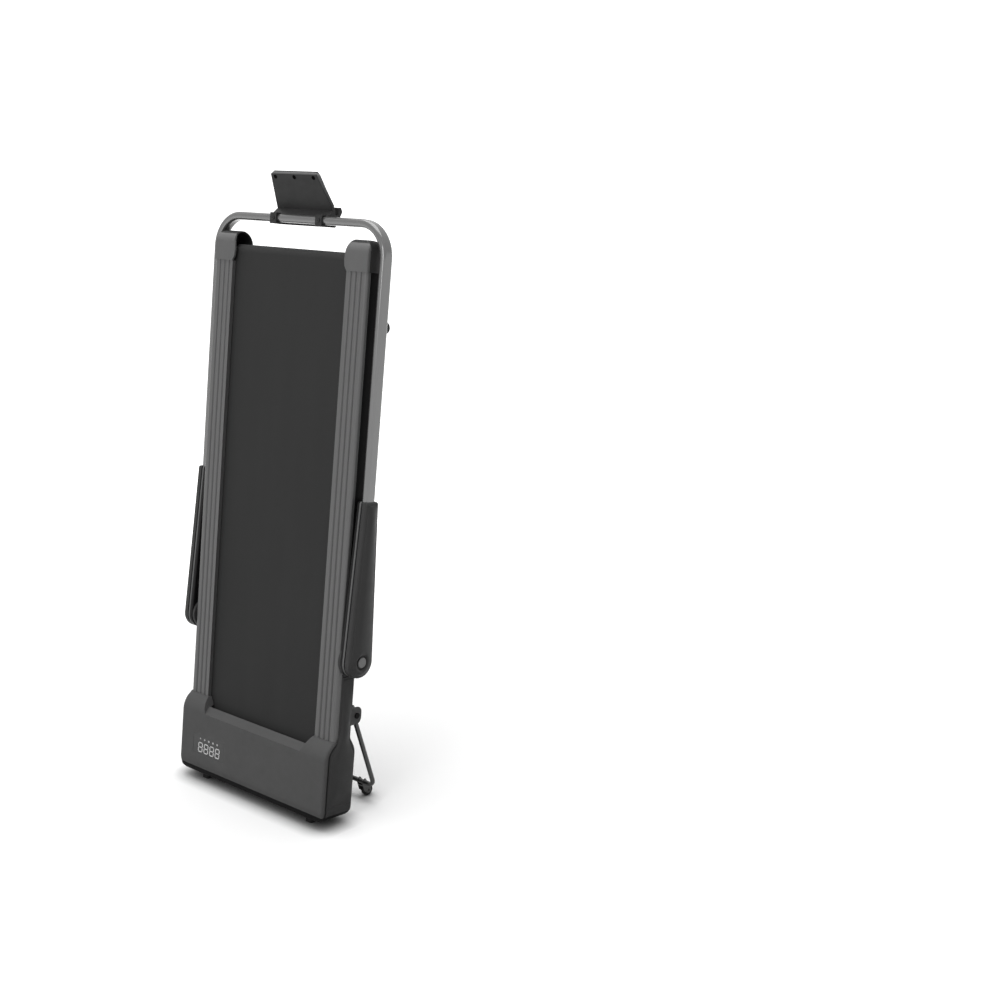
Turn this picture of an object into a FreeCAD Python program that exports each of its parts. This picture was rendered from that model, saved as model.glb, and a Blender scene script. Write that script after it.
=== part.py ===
import FreeCAD
import Part
import Sketcher
import math
import os

# Walking pad with a folding handrail, standing on its motor end with the kick stand out.
# Deck frame: x across the belt, y from the walking side to the underside, z from the motor end up.
# The whole deck is then leaned back and lifted, so that the feet and the stand wheels reach the floor.

os.makedirs("parts", exist_ok=True)
doc = FreeCAD.newDocument("walking_pad")
sheet = doc.addObject("Spreadsheet::Sheet", "Sizes")


# Sizes that remember their sheet formula

class Size:
    """A number kept together with the sheet formula that it comes from."""

    def __init__(self, value, formula):
        self.value = value
        self.formula = formula

    def __add__(self, other):
        other = size(other)
        return Size(self.value + other.value, "(%s + %s)" % (self.formula, other.formula))

    def __sub__(self, other):
        other = size(other)
        return Size(self.value - other.value, "(%s - %s)" % (self.formula, other.formula))

    def __mul__(self, other):
        other = size(other)
        return Size(self.value * other.value, "(%s * %s)" % (self.formula, other.formula))

    def __truediv__(self, other):
        other = size(other)
        return Size(self.value / other.value, "(%s / %s)" % (self.formula, other.formula))

    def __neg__(self):
        return Size(-self.value, "(0 - %s)" % self.formula)

    def __radd__(self, other):
        return size(other) + self

    def __rsub__(self, other):
        return size(other) - self

    def __rmul__(self, other):
        return size(other) * self


def size(value):
    """A plain number as a Size, and a Size as it is."""
    if isinstance(value, Size):
        return value
    return Size(float(value), "(%.4f)" % float(value))


def dim(name, number):
    """Put one driving dimension into the sheet and hand back its Size."""
    dim.row += 1
    cell = "B%d" % dim.row
    sheet.set("A%d" % dim.row, name)
    sheet.set(cell, str(number))
    sheet.setAlias(cell, name)
    return Size(float(number), "Sizes." + name)


dim.row = 0

# Clearances
hair = dim("fit_hair", 0.02)
running = dim("fit_running", 0.06)
air = dim("fit_air", 0.4)

# Stance
lean_back = dim("lean_back", 7.75)
lift_up = dim("lift_up", 17.9)
origin_back = dim("origin_back", 125.7)

# Deck and belt
walk_half = dim("walk_half", 200)
rail_wide = dim("rail_wide", 66)
belt_tuck = dim("belt_tuck", 6)
belt_face = dim("belt_face", 12)
belt_thick = dim("belt_thick", 2)
roll_gap = dim("roll_gap", 0.3)
roller_radius = dim("roller_radius", 16)
roller_wall = dim("roller_wall", 3)
axle_radius = dim("axle_radius", 6)
belt_tail = dim("belt_tail", 42)
front_roller_z = dim("front_roller_z", 165)
board_gap = dim("board_gap", 8)
board_thick = dim("board_thick", 12)
board_clear = dim("board_clear", 0.5)
board_end = dim("board_end", 12)
cushion_tall = dim("cushion_tall", 5.5)
cushion_radius = dim("cushion_radius", 9)
deck_bolt_in = dim("deck_bolt_in", 17)
deck_bolt_radius = dim("deck_bolt_radius", 5)
deck_bolt_tall = dim("deck_bolt_tall", 4)
drum_over = dim("drum_over", 2)
bearing_in = dim("bearing_in", 4)
bearing_wide = dim("bearing_wide", 8)
axle_past = dim("axle_past", 14)

# Frame
frame_inset = dim("frame_inset", 4)
frame_wide = dim("frame_wide", 22)
frame_front = dim("frame_front", 3)
frame_back = dim("frame_back", 55)
frame_low = dim("frame_low", 24)
frame_tail = dim("frame_tail", 39)
tube_wall = dim("tube_wall", 1.8)
end_plate = dim("end_plate", 3)
tab_wide = dim("tab_wide", 28)
tab_half = dim("tab_half", 20)
tab_thick = dim("tab_thick", 2.5)
tab_end = dim("tab_end", 75)
tension_travel = dim("tension_travel", 12)
tension_radius = dim("tension_radius", 4)
tension_head = dim("tension_head", 6)
tension_head_radius = dim("tension_head_radius", 6.5)
tension_socket = dim("tension_socket", 4)
tension_socket_radius = dim("tension_socket_radius", 3)
bar_height = dim("bar_height", 20)
bar_thick = dim("bar_thick", 5)
front_bar_z = dim("front_bar_z", 363)
rear_bar_in = dim("rear_bar_in", 66)

# Foot rails and end caps
rail_low = dim("rail_low", 205)
rail_high = dim("rail_high", 1333)
rail_corner = dim("rail_corner", 8)
rail_lip = dim("rail_lip", 14)
groove_deep = dim("groove_deep", 2)
groove_wide = dim("groove_wide", 9)
groove_floor = dim("groove_floor", 2)
groove_shift = dim("groove_shift", 2)
lip_thick = dim("lip_thick", 3)
lip_clear = dim("lip_clear", 1.5)
cap_tall = dim("cap_tall", 74)
cap_proud = dim("cap_proud", 2)
cap_wall = dim("cap_wall", 3)
cap_lap = dim("cap_lap", 8)
cap_over = dim("cap_over", 2)
cap_round = dim("cap_round", 24)
cap_plate = dim("cap_plate", 9)
cap_groove = dim("cap_groove", 1.2)
cap_skin = dim("cap_skin", 3.5)
cap_edge = dim("cap_edge", 4)

# Motor housing
house_lap = dim("house_lap", 3)
house_front = dim("house_front", 26)
house_back = dim("house_back", 75)
house_wall = dim("house_wall", 4)
bumper_high = dim("bumper_high", 18)
seam_front = dim("seam_front", 17)
seam_gap = dim("seam_gap", 6)
shoulder_z = dim("shoulder_z", 183)
shoulder_round = dim("shoulder_round", 50)
crest_front = dim("crest_front", 2)
chin_in = dim("chin_in", 3)
chin_tall = dim("chin_tall", 11)
chin_round = dim("chin_round", 30)
cover_edge = dim("cover_edge", 7)
side_edge = dim("side_edge", 3.5)
flare_high = dim("flare_high", 209)
flare_low = dim("flare_low", 178)
flare_round = dim("flare_round", 46)
flare_turn = dim("flare_turn", 14)
heel_high = dim("heel_high", 29)
heel_round = dim("heel_round", 20)
heel_back = dim("heel_back", 2.5)
toe_round = dim("toe_round", 14)
sole_round = dim("sole_round", 17)
corner_round = dim("corner_round", 32)
bumper_step = dim("bumper_step", 0.5)
bumper_floor = dim("bumper_floor", 8)
bumper_wall = dim("bumper_wall", 4)
cheek_gap = dim("cheek_gap", 3)
lip_front = dim("lip_front", 6)
band_inset = dim("band_inset", 4)
band_slant = dim("band_slant", 18)
band_low = dim("band_low", 166)
band_high = dim("band_high", 182)
neck_high = dim("neck_high", 368)
pan_high = dim("pan_high", 203)
display_edge = dim("display_edge", 52)
display_wide = dim("display_wide", 121)
display_low = dim("display_low", 55)
display_high = dim("display_high", 108)
window_sunk = dim("window_sunk", 0.3)
panel_thick = dim("panel_thick", 1.6)
panel_over = dim("panel_over", 6)
recess_edge = dim("recess_edge", 86)
recess_low = dim("recess_low", 106)
recess_high = dim("recess_high", 176)
recess_deep = dim("recess_deep", 14)
recess_left = dim("recess_left", 4)
recess_round = dim("recess_round", 6)
pan_rib = dim("pan_rib", 4)
screw_z = dim("screw_z", 60)
screw_radius = dim("screw_radius", 4.5)
screw_head = dim("screw_head", 1.6)
end_foot_edge = dim("end_foot_edge", 73)
end_foot_front = dim("end_foot_front", 2)
end_foot_back = dim("end_foot_back", 26)
end_foot_half = dim("end_foot_half", 12)
end_foot_round = dim("end_foot_round", 6)

# Rubber feet under the frame
near_foot_z = dim("near_foot_z", 642)
far_foot_in = dim("far_foot_in", 126)
foot_tall = dim("foot_tall", 36)
foot_neck = dim("foot_neck", 6)
foot_neck_radius = dim("foot_neck_radius", 10.8)
foot_radius = dim("foot_radius", 17)
foot_draft = dim("foot_draft", 4)

# Drive
motor_y = dim("motor_y", 12)
motor_z = dim("motor_z", 85)
motor_radius = dim("motor_radius", 30)
motor_long = dim("motor_long", 135)
motor_gap = dim("motor_gap", 25)
tray_y = dim("tray_y", 46)
tray_thick = dim("tray_thick", 2)
tray_low = dim("tray_low", 30)
tray_high = dim("tray_high", 135)
board_left = dim("board_left", -215)
board_right = dim("board_right", -40)
board_low = dim("board_low", 50)
board_high = dim("board_high", 128)
board_stand = dim("board_stand", 8)
sink_left = dim("sink_left", -205)
sink_right = dim("sink_right", -135)
sink_low = dim("sink_low", 60)
sink_high = dim("sink_high", 118)
sink_tall = dim("sink_tall", 26)
fin_thick = dim("fin_thick", 4)
drive_gap = dim("drive_gap", 4)
drive_wide = dim("drive_wide", 14)
small_pulley = dim("small_pulley", 12)
big_pulley = dim("big_pulley", 24)
drive_thick = dim("drive_thick", 3)
shaft_radius = dim("shaft_radius", 5)
saddle_end = dim("saddle_end", 20)
saddle_in = dim("saddle_in", 4)
shaft_in = dim("shaft_in", 40)
flywheel_gap = dim("flywheel_gap", 4)
flywheel_wide = dim("flywheel_wide", 13)
flywheel_in = dim("flywheel_in", 2)
tray_slot = dim("tray_slot", 60)
tray_slot_in = dim("tray_slot_in", 6)
tray_slot_tall = dim("tray_slot_tall", 8)
post_in = dim("post_in", 7)
post_radius = dim("post_radius", 3)
can_radius = dim("can_radius", 10)
can_tall = dim("can_tall", 30)
can_pitch = dim("can_pitch", 26)
can_in = dim("can_in", 20)

# Mains inlet and switch
port_x = dim("port_x", 81)
port_y = dim("port_y", 30)
port_half = dim("port_half", 15)
port_deep = dim("port_deep", 12)
port_low = dim("port_low", 0.5)
port_high = dim("port_high", 17)
rocker_z = dim("rocker_z", 2.5)
rocker_pin = dim("rocker_pin", 1.2)
mouth_half = dim("mouth_half", 10)
mouth_deep = dim("mouth_deep", 8)
mouth_floor = dim("mouth_floor", 3)
prong_tall = dim("prong_tall", 6)
well_half = dim("well_half", 11)
well_deep = dim("well_deep", 7)
well_floor = dim("well_floor", 5)
rocker_half = dim("rocker_half", 10.2)
rocker_deep = dim("rocker_deep", 6.5)
rocker_pin_half = dim("rocker_pin_half", 8.5)

# Handrail and arm covers
arm_gap = dim("arm_gap", 14)
arm_y = dim("arm_y", 35)
arm_wide = dim("arm_wide", 20)
arm_deep = dim("arm_deep", 32)
arm_low = dim("arm_low", 388)
arm_over = dim("arm_over", 112)
arm_bend = dim("arm_bend", 78)
arm_wall = dim("arm_wall", 1.6)
arm_corner = dim("arm_corner", 9)
pivot_y = dim("pivot_y", 33)
pivot_z = dim("pivot_z", 411)
pivot_radius = dim("pivot_radius", 6)
sleeve_skin = dim("sleeve_skin", 7)
sleeve_floor = dim("sleeve_floor", 6)
sleeve_gap = dim("sleeve_gap", 4)
sleeve_lap = dim("sleeve_lap", 5)
sleeve_top = dim("sleeve_top", 800)
sleeve_low = dim("sleeve_low", 371)
sleeve_round = dim("sleeve_round", 39)
sleeve_half = dim("sleeve_half", 42)
sleeve_wall = dim("sleeve_wall", 3)
sleeve_edge = dim("sleeve_edge", 6.5)
sleeve_inner_edge = dim("sleeve_inner_edge", 3)
sleeve_corner = dim("sleeve_corner", 5)
sleeve_split = dim("sleeve_split", 7.5)
sleeve_mouth = dim("sleeve_mouth", 10)
bracket_proud = dim("bracket_proud", 0.4)
bracket_over = dim("bracket_over", 45)
bracket_corner = dim("bracket_corner", 6)
pivot_boss = dim("pivot_boss", 38)
pivot_in = dim("pivot_in", 12)
pivot_head = dim("pivot_head", 4)
pivot_head_radius = dim("pivot_head_radius", 13)
pivot_head_edge = dim("pivot_head_edge", 2)

# Tablet cradle
cradle_half = dim("cradle_half", 97)
cradle_top_half = dim("cradle_top_half", 79)
cradle_seat = dim("cradle_seat", 23)
cradle_skirt = dim("cradle_skirt", 24)
knee_in = dim("knee_in", 6)
knee_up = dim("knee_up", 15)
brow_in = dim("brow_in", 51)
brow_up = dim("brow_up", 93)
crown_in = dim("crown_in", 43)
crown_up = dim("crown_up", 105)
slot_near = dim("slot_near", 3)
slot_far = dim("slot_far", 12)
slot_floor = dim("slot_floor", 4)
ledge_out = dim("ledge_out", 25)
ledge_up = dim("ledge_up", 24)
dimple_radius = dim("dimple_radius", 3.4)
strap_thick = dim("strap_thick", 3.5)
clamp_x = dim("clamp_x", 79)
clamp_wide = dim("clamp_wide", 22)
clamp_screw_radius = dim("clamp_screw_radius", 4.5)
clamp_screw_tall = dim("clamp_screw_tall", 2)
clamp_socket = dim("clamp_socket", 1.2)
clamp_socket_radius = dim("clamp_socket_radius", 2.2)

# Kick stand
stand_inset = dim("stand_inset", 16)
stand_y = dim("stand_y", 82)
stand_z = dim("stand_z", 257)
stand_open = dim("stand_open", 25)
stand_rod = dim("stand_rod", 6)
stand_bend = dim("stand_bend", 22)
hub_radius = dim("hub_radius", 10)
pin_radius = dim("pin_radius", 4)
wheel_inset = dim("wheel_inset", 45)
wheel_drop = dim("wheel_drop", 33)
wheel_back = dim("wheel_back", 9)
wheel_radius = dim("wheel_radius", 15)
wheel_wide = dim("wheel_wide", 14)
wheel_pin = dim("wheel_pin", 3)
strut_x = dim("strut_x", -62)
strut_rod = dim("strut_rod", 4)
lug_up = dim("lug_up", 14)
lug_pin = dim("lug_pin", 3)
guide_wide = dim("guide_wide", 34)
guide_pin_y = dim("guide_pin_y", 63)
guide_pin_z = dim("guide_pin_z", 152)
guide_front = dim("guide_front", 50)
guide_skin = dim("guide_skin", 1.5)
guide_wall = dim("guide_wall", 1.8)
guide_under = dim("guide_under", 12)
slot_ahead = dim("slot_ahead", 7)
slot_behind = dim("slot_behind", 3)
slot_under = dim("slot_under", 2.9)
slot_over = dim("slot_over", 33.8)
stand_plate_half = dim("stand_plate_half", 22)
stand_plate = dim("stand_plate", 3)
stand_plate_in = dim("stand_plate_in", 14)
cheek_half = dim("cheek_half", 9.5)
cheek_out = dim("cheek_out", 16)
cheek_round = dim("cheek_round", 15)
pin_past = dim("pin_past", 2.5)
pin_head = dim("pin_head", 3)
pin_head_radius = dim("pin_head_radius", 7)
lug_half = dim("lug_half", 7)
lug_thick = dim("lug_thick", 3)
lug_gap = dim("lug_gap", 5.4)
lug_over = dim("lug_over", 6)
lug_pin_past = dim("lug_pin_past", 1.1)
fork_gap = dim("fork_gap", 0.7)
fork_thick = dim("fork_thick", 2.5)
fork_half = dim("fork_half", 7)
fork_toe = dim("fork_toe", 6)
fork_bridge = dim("fork_bridge", 4)
fork_bridge_in = dim("fork_bridge_in", 8)
wheel_pin_past = dim("wheel_pin_past", 4)
wheel_edge = dim("wheel_edge", 2.5)
strut_eye = dim("strut_eye", 6.5)
strut_eye_half = dim("strut_eye_half", 5)
strut_end = dim("strut_end", 5)
strut_pin = dim("strut_pin", 2.5)
strut_pin_gap = dim("strut_pin_gap", 0.5)

doc.recompute()


def cosine(angle):
    """Cosine of an angle in degrees, as a Size."""
    return Size(math.cos(math.radians(angle.value)), "cos(%s * 1 deg)" % angle.formula)


def sine(angle):
    """Sine of an angle in degrees, as a Size."""
    return Size(math.sin(math.radians(angle.value)), "sin(%s * 1 deg)" % angle.formula)


# Widths worked out from the walking width
rail_outer = walk_half + rail_wide
belt_half = walk_half + belt_tuck
frame_out = rail_outer - frame_inset
frame_in = frame_out - frame_wide
frame_centre = frame_out - frame_wide / 2
board_half = frame_in - board_gap
cap_inner = walk_half - cap_lap
cap_outer = rail_outer + cap_over
house_half = rail_outer + house_lap
band_half = walk_half - band_inset
display_left = display_edge - house_half
display_right = display_left + display_wide
foot_x = house_half - end_foot_edge
drive_x = belt_half + drive_gap
arm_x = rail_outer + arm_gap + arm_wide / 2
sleeve_in = arm_x - arm_wide / 2 - sleeve_floor
sleeve_out = arm_x + arm_wide / 2 + sleeve_skin
stand_x = frame_out - stand_inset
wheel_x = stand_x - wheel_inset

# Levels at the far end follow the foot rails
frame_high = rail_high + frame_tail
belt_end = rail_high + belt_tail
cap_high = rail_high + cap_tall
rear_bar_z = rail_high - rear_bar_in
arm_top = rail_high + arm_over

# The stand is as long as it has to be for its wheels to reach the floor
hinge_up = lift_up + stand_z * cosine(lean_back) - stand_y * sine(lean_back)
stand_plumb = stand_open - lean_back
wheel_dip = hinge_up + wheel_back * sine(stand_plumb) - wheel_radius
stand_reach = wheel_dip / cosine(stand_plumb) - wheel_drop

# Levels worked out from the driving sizes
belt_wrap = roller_radius + roll_gap + belt_thick
roller_y = belt_face + belt_wrap
rear_roller_z = belt_end - belt_wrap
board_front = belt_face + belt_thick + board_clear
board_back = board_front + board_thick
tab_front = board_back + cushion_tall
tab_back = tab_front + tab_thick
tab_pitch = (rail_high - rail_low - tab_end * 2) / 4
tab_levels = [rail_low + tab_end + tab_pitch * step for step in range(5)]
arm_front = arm_y - arm_deep / 2
arm_back = arm_y + arm_deep / 2


# Drawing helpers

PLANES = {"XY": ("XY_Plane", 1), "XZ": ("XZ_Plane", -1), "YZ": ("YZ_Plane", 1)}


def new_body(name):
    """An empty body."""
    return doc.addObject("PartDesign::Body", name)


def sketch_on(body, plane, level):
    """An empty sketch on one of the body's own planes, at a level along the plane's axis."""
    role, sign = PLANES[plane]
    sketch = body.newObject("Sketcher::SketchObject", "Outline")
    support = next(f for f in body.Origin.OriginFeatures if f.Role == role)
    sketch.AttachmentSupport = (support, [""])
    sketch.MapMode = "FlatFace"
    sketch.setExpression("AttachmentOffset.Base.z", (size(level) * sign).formula)
    return sketch


def tie(sketch, rules):
    """Add constraints, and bind each one that has a Size to its sheet formula."""
    first = sketch.ConstraintCount
    sketch.addConstraint([rule for rule, value in rules])
    for step, (rule, value) in enumerate(rules):
        if value is not None and "Sizes." in value.formula:
            sketch.setExpression("Constraints[%d]" % (first + step), value.formula)


def place(geometry, point, u, v):
    """Rules that hold one point of a sketch at u, v."""
    u = size(u)
    v = size(v)
    across = Sketcher.Constraint("DistanceX", -1, 1, geometry, point, u.value)
    along = Sketcher.Constraint("DistanceY", -1, 1, geometry, point, v.value)
    return [(across, u), (along, v)]


def trace(sketch, corners, closed=True):
    """Draw straight lines through corners (u, v), with an arc where a corner also has a radius."""
    count = len(corners)
    points = [FreeCAD.Vector(size(c[0]).value, size(c[1]).value, 0) for c in corners]
    arrive = list(points)
    leave = list(points)
    middle = [None] * count
    for i, corner in enumerate(corners):
        if len(corner) < 3:
            continue
        radius = size(corner[2]).value
        back = (points[i - 1] - points[i]).normalize()
        ahead = (points[(i + 1) % count] - points[i]).normalize()
        half = back.getAngle(ahead) / 2
        arrive[i] = points[i] + back * (radius / math.tan(half))
        leave[i] = points[i] + ahead * (radius / math.tan(half))
        inward = (back + ahead).normalize()
        middle[i] = points[i] + inward * (radius / math.sin(half) - radius)
    last = count if closed else count - 1
    lines = []
    for i in range(last):
        lines.append(sketch.addGeometry(Part.LineSegment(leave[i], arrive[(i + 1) % count])))
    rules = []
    for i, corner in enumerate(corners):
        if not closed and i == 0:
            rules += place(lines[0], 1, corner[0], corner[1])
            continue
        if not closed and i == count - 1:
            rules += place(lines[-1], 2, corner[0], corner[1])
            continue
        before = lines[i - 1]
        after = lines[i]
        if middle[i] is None:
            rules.append((Sketcher.Constraint("Coincident", before, 2, after, 1), None))
            rules += place(after, 1, corner[0], corner[1])
            continue
        arc = sketch.addGeometry(Part.Arc(arrive[i], middle[i], leave[i]))
        peak = sketch.addGeometry(Part.Point(points[i]), True)
        starts = sketch.getPoint(arc, 1).distanceToPoint(arrive[i]) < 1e-6
        first = 1 if starts else 2
        rules.append((Sketcher.Constraint("PointOnObject", peak, 1, before), None))
        rules.append((Sketcher.Constraint("PointOnObject", peak, 1, after), None))
        rules.append((Sketcher.Constraint("Tangent", before, 2, arc, first), None))
        rules.append((Sketcher.Constraint("Tangent", arc, 3 - first, after, 1), None))
        radius = size(corner[2])
        rules.append((Sketcher.Constraint("Radius", arc, radius.value), radius))
        rules += place(peak, 1, corner[0], corner[1])
    tie(sketch, rules)


def circle(u, v, radius):
    """A round loop for add and cut."""
    return ("circle", u, v, radius)


def box(u0, v0, u1, v1, radius=None):
    """A rectangular loop, with round corners where a radius is given."""
    corners = [(u0, v0), (u1, v0), (u1, v1), (u0, v1)]
    if radius is None:
        return corners
    return [(u, v, radius) for u, v in corners]


def draw(sketch, loops):
    """Draw every loop into the sketch."""
    for loop in loops:
        if loop[0] != "circle":
            trace(sketch, loop)
            continue
        u, v, radius = loop[1:]
        centre = FreeCAD.Vector(size(u).value, size(v).value, 0)
        ring = sketch.addGeometry(Part.Circle(centre, FreeCAD.Vector(0, 0, 1), size(radius).value))
        rules = place(ring, 3, u, v)
        rules.append((Sketcher.Constraint("Radius", ring, size(radius).value), size(radius)))
        tie(sketch, rules)


def extrude(body, kind, plane, start, end, loops):
    """Pad or pocket the loops from one level of the plane's axis to another."""
    start = size(start)
    end = size(end)
    sketch = sketch_on(body, plane, start)
    draw(sketch, loops)
    feature = body.newObject(kind, "Step")
    feature.Profile = sketch
    rising = end.value > start.value
    length = end - start if rising else start - end
    feature.setExpression("Length", length.formula)
    along_normal = rising == (PLANES[plane][1] == 1)
    feature.Reversed = along_normal if kind == "PartDesign::Pocket" else not along_normal
    return feature


def add(body, plane, start, end, *loops):
    """Add material inside the loops."""
    return extrude(body, "PartDesign::Pad", plane, start, end, loops)


def cut(body, plane, start, end, *loops):
    """Take material away inside the loops."""
    return extrude(body, "PartDesign::Pocket", plane, start, end, loops)


def sweep(body, kind, profile_plane, profile_level, loops, path_plane, path_level, path):
    """Carry the loops along an open path."""
    profile = sketch_on(body, profile_plane, profile_level)
    draw(profile, loops)
    spine = sketch_on(body, path_plane, path_level)
    trace(spine, path, closed=False)
    doc.recompute()
    pipe = body.newObject(kind, "Sweep")
    pipe.Profile = profile
    pipe.Spine = (spine, ["Edge%d" % (i + 1) for i in range(len(spine.Shape.Edges))])
    return pipe


def soften(body, radius, chosen):
    """Round the edges of the body's last step that a test picks."""
    doc.recompute()
    tip = body.Tip
    names = ["Edge%d" % (i + 1) for i, edge in enumerate(tip.Shape.Edges) if chosen(edge.BoundBox)]
    feature = body.newObject("PartDesign::Fillet", "Soft")
    feature.Base = (tip, names)
    feature.setExpression("Radius", size(radius).formula)
    return feature


def turn_x(degrees, y, z):
    """A placement that turns about the x axis and then moves to y, z."""
    turn = FreeCAD.Rotation(FreeCAD.Vector(1, 0, 0), degrees)
    return FreeCAD.Placement(FreeCAD.Vector(0, y, z), turn)


stance = turn_x(-lean_back.value, -origin_back.value, lift_up.value)
nodes = []


def keep(label, piece, placement=None):
    """Name a finished piece and stand it with the rest of the pad."""
    piece.Label = label
    piece.Placement = stance if placement is None else stance.multiply(placement)
    nodes.append(piece)
    return piece


def mirror(source, name="Mirror"):
    """The same piece on the other side."""
    other = doc.addObject("Part::Mirroring", name)
    other.Source = source
    other.Normal = FreeCAD.Vector(1, 0, 0)
    return other


def keep_pair(name, piece, placement=None):
    """Keep a right-hand piece and its left-hand mirror as two nodes."""
    keep("right_" + name, piece, placement)
    other = mirror(piece)
    other.Label = "left_" + name
    nodes.append(other)


def keep_both(label, piece, placement=None):
    """Keep a right-hand piece and its mirror together in one node."""
    piece.Placement = stance if placement is None else stance.multiply(placement)
    both = doc.addObject("Part::Compound", "Both")
    both.Links = [piece, mirror(piece)]
    both.Label = label
    nodes.append(both)


# Steel frame

def build_frame():
    member = new_body("FrameMember")
    outside = box(frame_in, frame_front, frame_out, frame_back)
    hollow = box(frame_in + tube_wall, frame_front + tube_wall, frame_out - tube_wall, frame_back - tube_wall)
    plate_low = frame_high - end_plate
    add(member, "XY", frame_low, plate_low, outside, hollow)
    add(member, "XY", plate_low, frame_high, outside)
    inner_face = frame_in + tube_wall
    cut(member, "YZ", frame_in, inner_face, circle(roller_y, front_roller_z, axle_radius + hair))
    slot_half = axle_radius + hair
    slot = box(roller_y - slot_half, rear_roller_z - tension_travel, roller_y + slot_half,
               rear_roller_z + slot_half)
    cut(member, "YZ", frame_in, inner_face, slot)
    cut(member, "YZ", frame_out, frame_out - tube_wall, circle(pivot_y, pivot_z, pivot_radius + hair))
    cut(member, "XY", plate_low, frame_high, circle(frame_centre, roller_y, tension_radius + hair))
    for z in tab_levels:
        add(member, "XZ", tab_front, tab_back, box(frame_in - tab_wide, z - tab_half, frame_in, z + tab_half))
    keep_pair("frame_member", member)

    for label, centre in (("front_cross_bar", front_bar_z), ("rear_cross_bar", rear_bar_z)):
        bar = new_body("CrossBar")
        low = centre - bar_height / 2
        high = centre + bar_height / 2
        add(bar, "XZ", frame_back - bar_thick, frame_back, box(-frame_in, low, frame_in, high))
        keep(label, bar)


# Foot rails and end caps

def build_rails():
    rail = new_body("FootRail")
    plate = frame_front
    corners = [(walk_half, 0)]
    pitch = (rail_outer - walk_half) / 4
    for step in (1, 2, 3):
        centre = walk_half + pitch * step - groove_shift
        corners.append((centre - groove_wide / 2, 0))
        corners.append((centre - groove_floor / 2, groove_deep))
        corners.append((centre + groove_floor / 2, groove_deep))
        corners.append((centre + groove_wide / 2, 0))
    corners.append((rail_outer, 0, rail_corner))
    corners.append((rail_outer, rail_lip))
    corners.append((frame_out, rail_lip))
    corners.append((frame_out, plate))
    corners.append((walk_half + lip_thick, plate))
    corners.append((walk_half + lip_thick, belt_face - lip_clear))
    corners.append((walk_half, belt_face - lip_clear))
    add(rail, "XY", rail_low, rail_high, corners)
    keep_pair("foot_rail", rail)

    cap = new_body("EndCap")
    front = -cap_proud
    back = frame_back + cap_wall
    inner = cap_inner
    crown = (back - front) / 2 - 1
    side = [(front, rail_high), (front, cap_high, crown), (back, cap_high, crown), (back, rail_high)]
    add(cap, "YZ", inner, cap_outer, side)
    cut(cap, "XZ", front, back, [(inner - 5, rail_high), (walk_half + 1, rail_high),
                                 (inner + 2, rail_high + cap_tall * 0.15),
                                 (inner, rail_high + cap_tall * 0.35),
                                 (inner + 2, rail_high + cap_tall * 0.6), (walk_half + 1, cap_high),
                                 (inner - 5, cap_high)])
    round_start = cap_outer - cap_round
    cut(cap, "XZ", front, back, [(cap_outer + 5, cap_high - cap_round), (cap_outer, cap_high - cap_round),
                                 (cap_outer, cap_high, cap_round - 0.01),
                                 (round_start, cap_high), (round_start, cap_high + 5),
                                 (cap_outer + 5, cap_high + 5)])
    hollow_top = cap_high - cap_wall
    hollow_round = crown - cap_wall - 1
    hollow = [(frame_front, rail_high), (frame_front, hollow_top, hollow_round),
              (frame_back, hollow_top, hollow_round), (frame_back, rail_high)]
    cut(cap, "YZ", inner - 2, round_start, hollow)
    low_hollow = box(frame_front, rail_high, frame_back, cap_high - cap_round - 2)
    cut(cap, "YZ", round_start, cap_outer - cap_skin, low_hollow)
    soften(cap, cap_edge, lambda b: b.XMin > cap_outer.value - 0.01 and b.ZMax > rail_high.value + 0.1
           and b.ZMax - b.ZMin > 1)
    plate_back = front + cap_plate
    cut(cap, "YZ", cap_outer, cap_outer - cap_groove,
        box(plate_back, rail_high, plate_back + cap_groove, cap_high - cap_round))
    keep_pair("end_cap", cap)


# Running board, belt and rollers

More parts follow.
